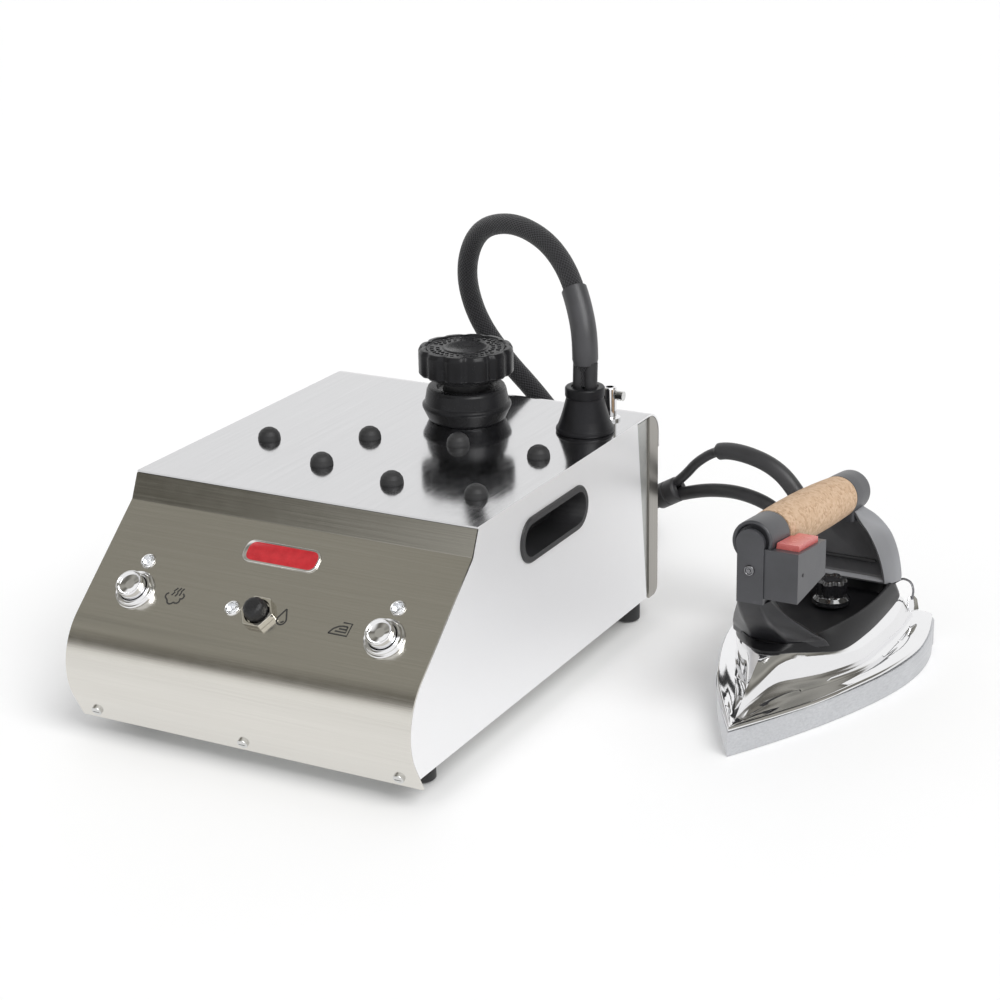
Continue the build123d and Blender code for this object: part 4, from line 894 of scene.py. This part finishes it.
def make_gland():
    turned = Matrix.Translation((-86.0, 239.85, 42.0)) @ Matrix.Rotation(math.radians(-90), 4, "X")
    outline = [(3.9, -14.0), (8.0, -14.0), (8.0, 0.1), (11.4, 0.1), (11.4, 4.2), (10.4, 5.0), (9.2, 5.0)]
    for k in range(4):
        base, rib, groove = 5.4 + 1.8 * k, 8.9 - 0.5 * k, 7.2 - 0.3 * k
        outline += [(rib, base), (rib, base + 1.1), (groove, base + 1.3), (groove, base + 1.7)]
    outline += [(6.4, 12.9), (4.4, 13.0), (3.9, 12.6)]
    lathe_piece("mains_gland_detail", outline, BLACK, "cabinet", turned, 48, replaces=("mains_gland",),
                smooth=30)


make_cap()
make_cone()
make_switches()
make_lamps()
make_reset()
make_badge()
make_icons()
make_gland()


# ---------------------------------------------------------------- iron details
IRON_X, TIP_Y = 237.7, 65.7


def on_iron(u, s, z):
    return Vector((IRON_X + u, TIP_Y + s, z))


def hull_ring(stations, inset=0.0, lift=0.0):
    """Closed ring from (u, s, z) stations of the right half, from the nose to the middle of the heel."""
    heel = stations[-1][1]
    moved = []
    for u, s, z in stations:
        share = min(1.0, max(0.0, (s - 60.0) / 60.0))
        moved.append((max(0.0, u - inset) if u > 0 else 0.0,
                      s + inset * (1.5 * (1 - share) if s < 0.9 * heel else -1.0), z + lift))
    right = smooth_line(moved, 46)
    left = [Vector((-p.x, p.y, p.z)) for p in reversed(right[1:-1])]
    return [on_iron(*p) for p in [*right, *left]]


OUTLINE = [(0, 1.3, 15.1), (16.6, 31.0, 15.1), (31, 58.5, 15.1), (42.4, 88.4, 15.1), (52.6, 120, 15.1),
           (58.3, 154.3, 15.1), (57.1, 180, 15.1), (51.8, 203.9, 15.1), (48.8, 212.6, 15.1),
           (43.3, 216.5, 15.1), (0, 216.8, 15.1)]
FOLD = [(0, 9, 17.6), (3.2, 29, 18.6), (11.5, 55, 19.3), (28.5, 83, 19.8), (40, 112, 20), (43.4, 148, 20),
        (43.6, 176, 20), (41.4, 196, 20), (39, 203, 20), (33.5, 206.5, 20), (0, 207, 20)]
SHOULDER = [(0, 50, 45.5), (6, 53.5, 45), (14, 62, 43.5), (25, 77, 40), (33, 96, 36), (36.3, 128, 35),
            (36.6, 158, 35), (35.6, 182, 35.5), (33.8, 190, 36), (28, 194.5, 36), (0, 195, 36)]
RIM = [(0, 60, 48.6), (9, 62, 48.8), (19, 68, 49.6), (25.2, 80, 50.4), (28, 97, 49), (32, 120, 48),
       (34, 144, 47.6), (34.2, 167, 47.8), (33, 180, 48.4), (27, 186, 49), (0, 187, 49)]


def between(a, b, share, bulge=0.0, rise=0.0):
    """Stations part of the way from one ring to the next, pushed outwards and up."""
    return [(p[0] + (q[0] - p[0]) * share + (bulge if p[0] > 0 else 0), p[1] + (q[1] - p[1]) * share,
             p[2] + (q[2] - p[2]) * share + rise) for p, q in zip(a, b)]


def flat(stations, z, slope=0.0):
    """The same stations at one height, or at one that climbs towards the heel."""
    return [(u, s, z + slope * s) for u, s, _ in stations]


def loft_piece(name, rings, material, replaces, smooth, caps=(0, -1)):
    """Skin through closed rings, with faces over those that caps numbers."""
    def build(work):
        loops = [add_ring(work, ring) for ring in rings]
        bridge(work, loops)
        for cap in caps:
            work.faces.new(loops[cap])

    finish_piece(mesh_from(build), name, material, "iron", replaces, smooth)


def make_iron_cover():
    edge = ((3.0, 0.0), (0.2, 0.0), (-0.5, 0.5), (-0.6, 1.3), (-0.2, 2.1), (0.8, 2.6), (2.0, 2.5))
    flank = ((0.06, 0.0, 0.4), (0.22, 0.4, 0.9), (0.45, 1.0, 1.3), (0.7, 1.1, 1.2), (0.88, 0.6, 0.8))
    rings = [
        *(hull_ring(OUTLINE, inset, lift) for inset, lift in edge),
        hull_ring(flat(between(OUTLINE, FOLD, 0.35), 18.0, 0.004)),
        hull_ring(flat(between(OUTLINE, FOLD, 0.65), 18.3, 0.004)),
        hull_ring(between(OUTLINE, FOLD, 0.9, 0.0, -0.9)), hull_ring(FOLD, 0.0, -0.3),
        *(hull_ring(between(FOLD, SHOULDER, *row)) for row in flank),
        hull_ring(SHOULDER, 0.4, 0.4), hull_ring(SHOULDER, 3.0, 0.8), hull_ring(flat(SHOULDER, 33.0), 8.0),
    ]
    loft_piece("iron_cover_detail", rings, CHROME, ("iron_cover",), 42, caps=(-1,))


def make_tray():
    foot = ((4.0, 0.2), (-0.3, -0.4), (-1.0, 0.2), (-1.1, 1.4))
    lip = ((-0.4, -0.7), (0.0, 0.15), (0.8, 0.5), (1.7, 0.2), (2.2, -0.8), (3.0, -5.0))
    rings = [
        *(hull_ring(SHOULDER, inset, lift) for inset, lift in foot),
        hull_ring(between(SHOULDER, RIM, 0.3, 1.5, 1.6)), hull_ring(between(SHOULDER, RIM, 0.65, 1.4, 1.4)),
        *(hull_ring(RIM, inset, lift) for inset, lift in lip),
        hull_ring(flat(RIM, 39.4), 4.2), hull_ring(flat(RIM, 38.4), 6.5),
    ]
    loft_piece("heat_shield_tray", rings, SKIRT, ("iron_skirt",), 40, caps=(-1,))


# The horn's outline at each height: half width and distance of its front, its flared corners and its back.
HORN = [
    (43.6, 11.5, 62.6, 30.9, 80.0, 16, 90), (44.6, 11.8, 61.9, 30.8, 79.0, 15.6, 89.5),
    (47.6, 11.8, 61.0, 29.9, 76.6, 15.2, 88), (49.2, 11.4, 60.0, 29.0, 74.6, 14.6, 86),
    (55, 10, 54.4, 25.8, 66, 13.5, 78), (60, 9.1, 49.0, 23, 60, 12.5, 70),
    (66, 8.4, 42.5, 19.6, 53, 11, 61), (72, 8.1, 36.8, 16, 47, 10, 54),
    (78, 8.0, 32.2, 12.6, 41.2, 9.2, 49), (84.0, 7.8, 28.5, 10.2, 36, 8.4, 45),
]


def make_horn():
    rings = []
    for z, front, front_s, corner, corner_s, back, back_s in smooth_line(HORN, 33):
        right = [(front, front_s), (corner, corner_s), (back, back_s)]
        outline = right + [(-u, s) for u, s in reversed(right)]
        rings.append([on_iron(u, s, z) for u, s in rounded(outline, [4.0, 1.6, 3.0, 3.0, 1.6, 4.0], 6)])
    loft_piece("handle_horn", rings, HORN_GREY, (), 34)


SHIELD_FRONT = [(31.0, 48.2), (30.8, 52.0), (29.0, 60.0), (25.5, 70.0), (20.0, 80.0), (14.3, 87.5),
                (10.5, 93.0)]
SHIELD_REAR = [(37.2, 48.2), (37.4, 52.0), (36.3, 60.0), (33.7, 70.0), (28.8, 80.0), (20.0, 88.5),
               (11.0, 93.0)]


def make_shield():
    def ring(outline, s, inset=0.0):
        drawn = []
        for u, z in outline:
            raised = z + (inset * 0.9 if z < 50 else 0) - (inset if z > 85 else 0) * 0.7
            drawn.append((u - inset * 0.9, raised))
        right = smooth_line(drawn, 22)
        return [on_iron(p.x, s, p.y) for p in right] + [on_iron(-p.x, s, p.y) for p in reversed(right)]

    middle = [(a[0] * 0.5 + b[0] * 0.5 + 0.9, a[1]) for a, b in zip(SHIELD_FRONT, SHIELD_REAR)]
    rings = [
        ring(SHIELD_REAR, 187.5, 1.6), ring(SHIELD_REAR, 187.3, 0.5), ring(SHIELD_REAR, 186.6),
        ring(middle, 181.0), ring(SHIELD_FRONT, 175.4), ring(SHIELD_FRONT, 174.7, 0.5),
        ring(SHIELD_FRONT, 174.6, 1.4), ring(SHIELD_FRONT, 175.6, 2.2), ring(SHIELD_FRONT, 178.6, 2.8),
        ring(SHIELD_FRONT, 179.4, 4.2),
    ]
    loft_piece("rear_shield_detail", rings, SHIELD_GREY, ("rear_shield",), 34)
    ledge = rounded([(-24.0, 60.0), (24.0, 60.0), (23.0, 62.2), (-23.0, 62.2)], 0.8, 3)
    upright = Matrix.Translation(on_iron(0, 179.6, 0)) @ Matrix.Rotation(math.radians(90), 4, "X")
    slab_piece("rear_shield_ledge", ledge, 0.0, 2.4, BLACK, "iron", upright, 0.5)
    neck = rounded([(-9.5, 173.5), (9.5, 173.5), (10.8, 185.5), (-10.8, 185.5)], 2.5, 4)
    slab_piece("handle_neck", neck, 86.0, 97.0, GREY, "iron", Matrix.Translation((IRON_X, TIP_Y, 0)), 0.6)


def along_handle():
    slope = math.radians(7.2)
    along, side = Vector((0, math.cos(slope), -math.sin(slope))), Vector((1, 0, 0))
    turn = Matrix((side, along.cross(side), along)).transposed().to_4x4()
    return Matrix.Translation((IRON_X, 97.0, 120.2)) @ turn


def make_handle():
    place = along_handle()
    front = rounded([(3.4, 1.9), (9.4, 1.9), (9.9, 0.3), (10.6, 0.0), (11.6, 0.0), (12.2, 0.8), (12.4, 8.0),
                     (12.7, 26.4), (12.2, 27.4), (3.4, 27.4)], 0.35, 3)
    rear = rounded([(3.4, 139.5), (12.2, 139.5), (12.9, 140.4), (13.0, 150.0), (12.8, 163.6), (11.4, 166.2),
                    (9.0, 166.9), (3.4, 167.0)], 0.9, 4)
    lathe_piece("handle_cap_front", front, GREY, "iron", place, 80, replaces=("handle_caps",), smooth=30)
    lathe_piece("handle_cap_rear", rear, GREY, "iron", place, 80, smooth=30)
    plug = [(0.02, 166.4), (3.6, 166.5), (3.6, 160.0)]
    lathe_piece("handle_end_plug", plug, BLACK, "iron", place, 40, closed=False)


def make_knob():
    def lobes(angle, height):
        return 1.0 if height < 45.6 else 1.0 - 0.20 * (0.5 + 0.5 * math.cos(6 * angle)) ** 2

    outline = rounded([(0.02, 40.1), (11.2, 40.1), (11.8, 41.4), (11.6, 43.6), (9.8, 45.4), (9.4, 46.2),
                       (9.6, 48.0), (9.7, 54.2), (8.6, 56.4), (6.4, 56.6), (5.2, 55.6), (0.02, 55.4)], 0.7,
                      4, closed=False)
    lathe_piece("thermostat_knob_detail", outline, GLOSS, "thermostat_knob",
                Matrix.Translation(on_iron(4.5, 152.0, 0)), 96, False, lobes, replaces=("thermostat_knob",),
                smooth=40)


def make_iron_screw():
    place = Matrix.Translation(on_iron(0, 28.28, 104)) @ Matrix.Rotation(math.radians(90), 4, "X")
    head = rounded([(0.02, 1.2), (1.0, 1.15), (1.2, 0.5), (1.9, 0.5), (2.2, 1.25), (2.9, 1.0), (3.2, 0.3),
                    (3.2, 0.0), (1.5, 0.0), (1.5, -10.0), (0.02, -10.0)], 0.18, 2, closed=False)
    lathe_piece("iron_front_screw", head, DARK_STEEL, "iron", place, 48, closed=False,
                replaces=("iron_screws",), smooth=30)
    dot = Matrix.Translation(on_iron(28.75, 37.5, 102.5)) @ Matrix.Rotation(math.radians(90), 4, "Y")
    pin = [(0.02, 0.5), (0.9, 0.45), (1.1, 0.1), (1.1, -1.0), (0.02, -1.0)]
    lathe_piece("switch_box_pin", pin, BLACK, "iron", dot, 24, closed=False)


def make_lead_glands():
    for name, route, radius, reach in (("power_gland", POWER_ROUTE, 7.0, 11.0),
                                       ("steam_gland", STEAM_ROUTE, 6.0, 8.5)):
        end, before = Vector(route[-1]), Vector(route[-2])
        along = (end - before).normalized()
        place = Matrix.Translation(end - along * 1.5) @ along.to_track_quat("Z", "Y").to_matrix().to_4x4()
        outline = [(0.02, 0.0), (radius - 1.0, 0.0), (radius - 0.6, 0.8)]
        for k in range(3):
            base, rib, waist = 1.2 + 2.2 * k, radius - 0.5 + 0.2 * k, radius - 1.2
            outline += [(rib, base), (rib, base + 1.2), (waist, base + 1.5), (waist, base + 2.0)]
        outline += [(radius, 8.4), (radius, reach), (0.02, reach)]
        lathe_piece(name, outline, BLACK, "iron", place, 40, closed=False, replaces=("lead_glands",),
                    smooth=30)


def make_clip():
    """Sprung wire and its small plated tab at the right of the heel."""
    wire = smooth_line([on_iron(33.5, 187, 46), on_iron(36.5, 193, 46.5), on_iron(40, 197.5, 43),
                        on_iron(41, 200, 37), on_iron(40.5, 200, 31)], 24)
    finish_piece(tube_mesh(wire, 0.75, 10), "heel_wire", DARK_STEEL, "iron", slot="chrome_trim")
    tab = rounded([(-3.6, -4.0), (3.6, -4.0), (3.6, 3.0), (1.8, 5.5), (-1.8, 5.5), (-3.6, 3.0)], 1.0, 3)
    place = (Matrix.Translation(on_iron(41.0, 200.0, 27.5)) @ Matrix.Rotation(math.radians(52), 4, "Z")
             @ Matrix.Rotation(math.radians(70), 4, "X"))
    slab_piece("heel_tab", tab, -0.8, 0.8, CHROME, "iron", place, 0.3)


make_iron_cover()
make_tray()
make_horn()
make_shield()
make_handle()
make_knob()
make_iron_screw()
make_lead_glands()
make_clip()


# ---------------------------------------------------------------- carried-over CAD nodes
def finish_node(node, material):
    item = NODES[node]
    item.data.materials.clear()
    item.data.materials.append(material)


FINISHES = {
    POLISHED: ("cover",),
    BRUSHED: ("front_panel",),
    REAR_STEEL: ("rear_panel",),
    CHASSIS: ("chassis", "boiler_brackets"),
    FASTENER: ("cabinet_screws", "foot_screws", "rod_clamp_screw", "tie_rod", "boiler_shell",
               "heating_element"),
    BLACK: ("handle_cup_right", "handle_cup_left", "switch_bodies", "microswitch", "filler_neck"),
    GREY: ("front_post", "switch_box"),
    RUBBER: ("feet", "cap_gasket", "rest_pads", "boiler_sensors", "solenoid_coil", "iron_thermostat"),
    CHROME: ("rod_socket",),
    NICKEL: ("reset_nut",),
    BRASS: ("cap_plug", "cap_valve_core", "solenoid_valve", "steam_pipe"),
    BOARD: ("control_board",),
    SOLE: ("soleplate",),
    CORK: ("cork_grip",),
    RED: ("steam_button",),
}
for finish, names in FINISHES.items():
    for node_name in names:
        finish_node(node_name, finish)

# Soft edges on some moulded and metal nodes: width in millimetres.
EDGES = {
    "front_post": 0.9, "switch_box": 1.0, "steam_button": 0.9, "handle_cup_right": 0.5,
    "handle_cup_left": 0.5, "reset_nut": 0.35, "soleplate": 0.7,
}
for node_name, width in EDGES.items():
    weld = NODES[node_name].modifiers.new("weld", "WELD")
    weld.merge_threshold = 0.00002
    bevel = NODES[node_name].modifiers.new("edges", "BEVEL")
    bevel.width = width * MM
    bevel.segments = 2
    bevel.limit_method = "ANGLE"
    bevel.angle_limit = math.radians(40)
    bevel.harden_normals = True
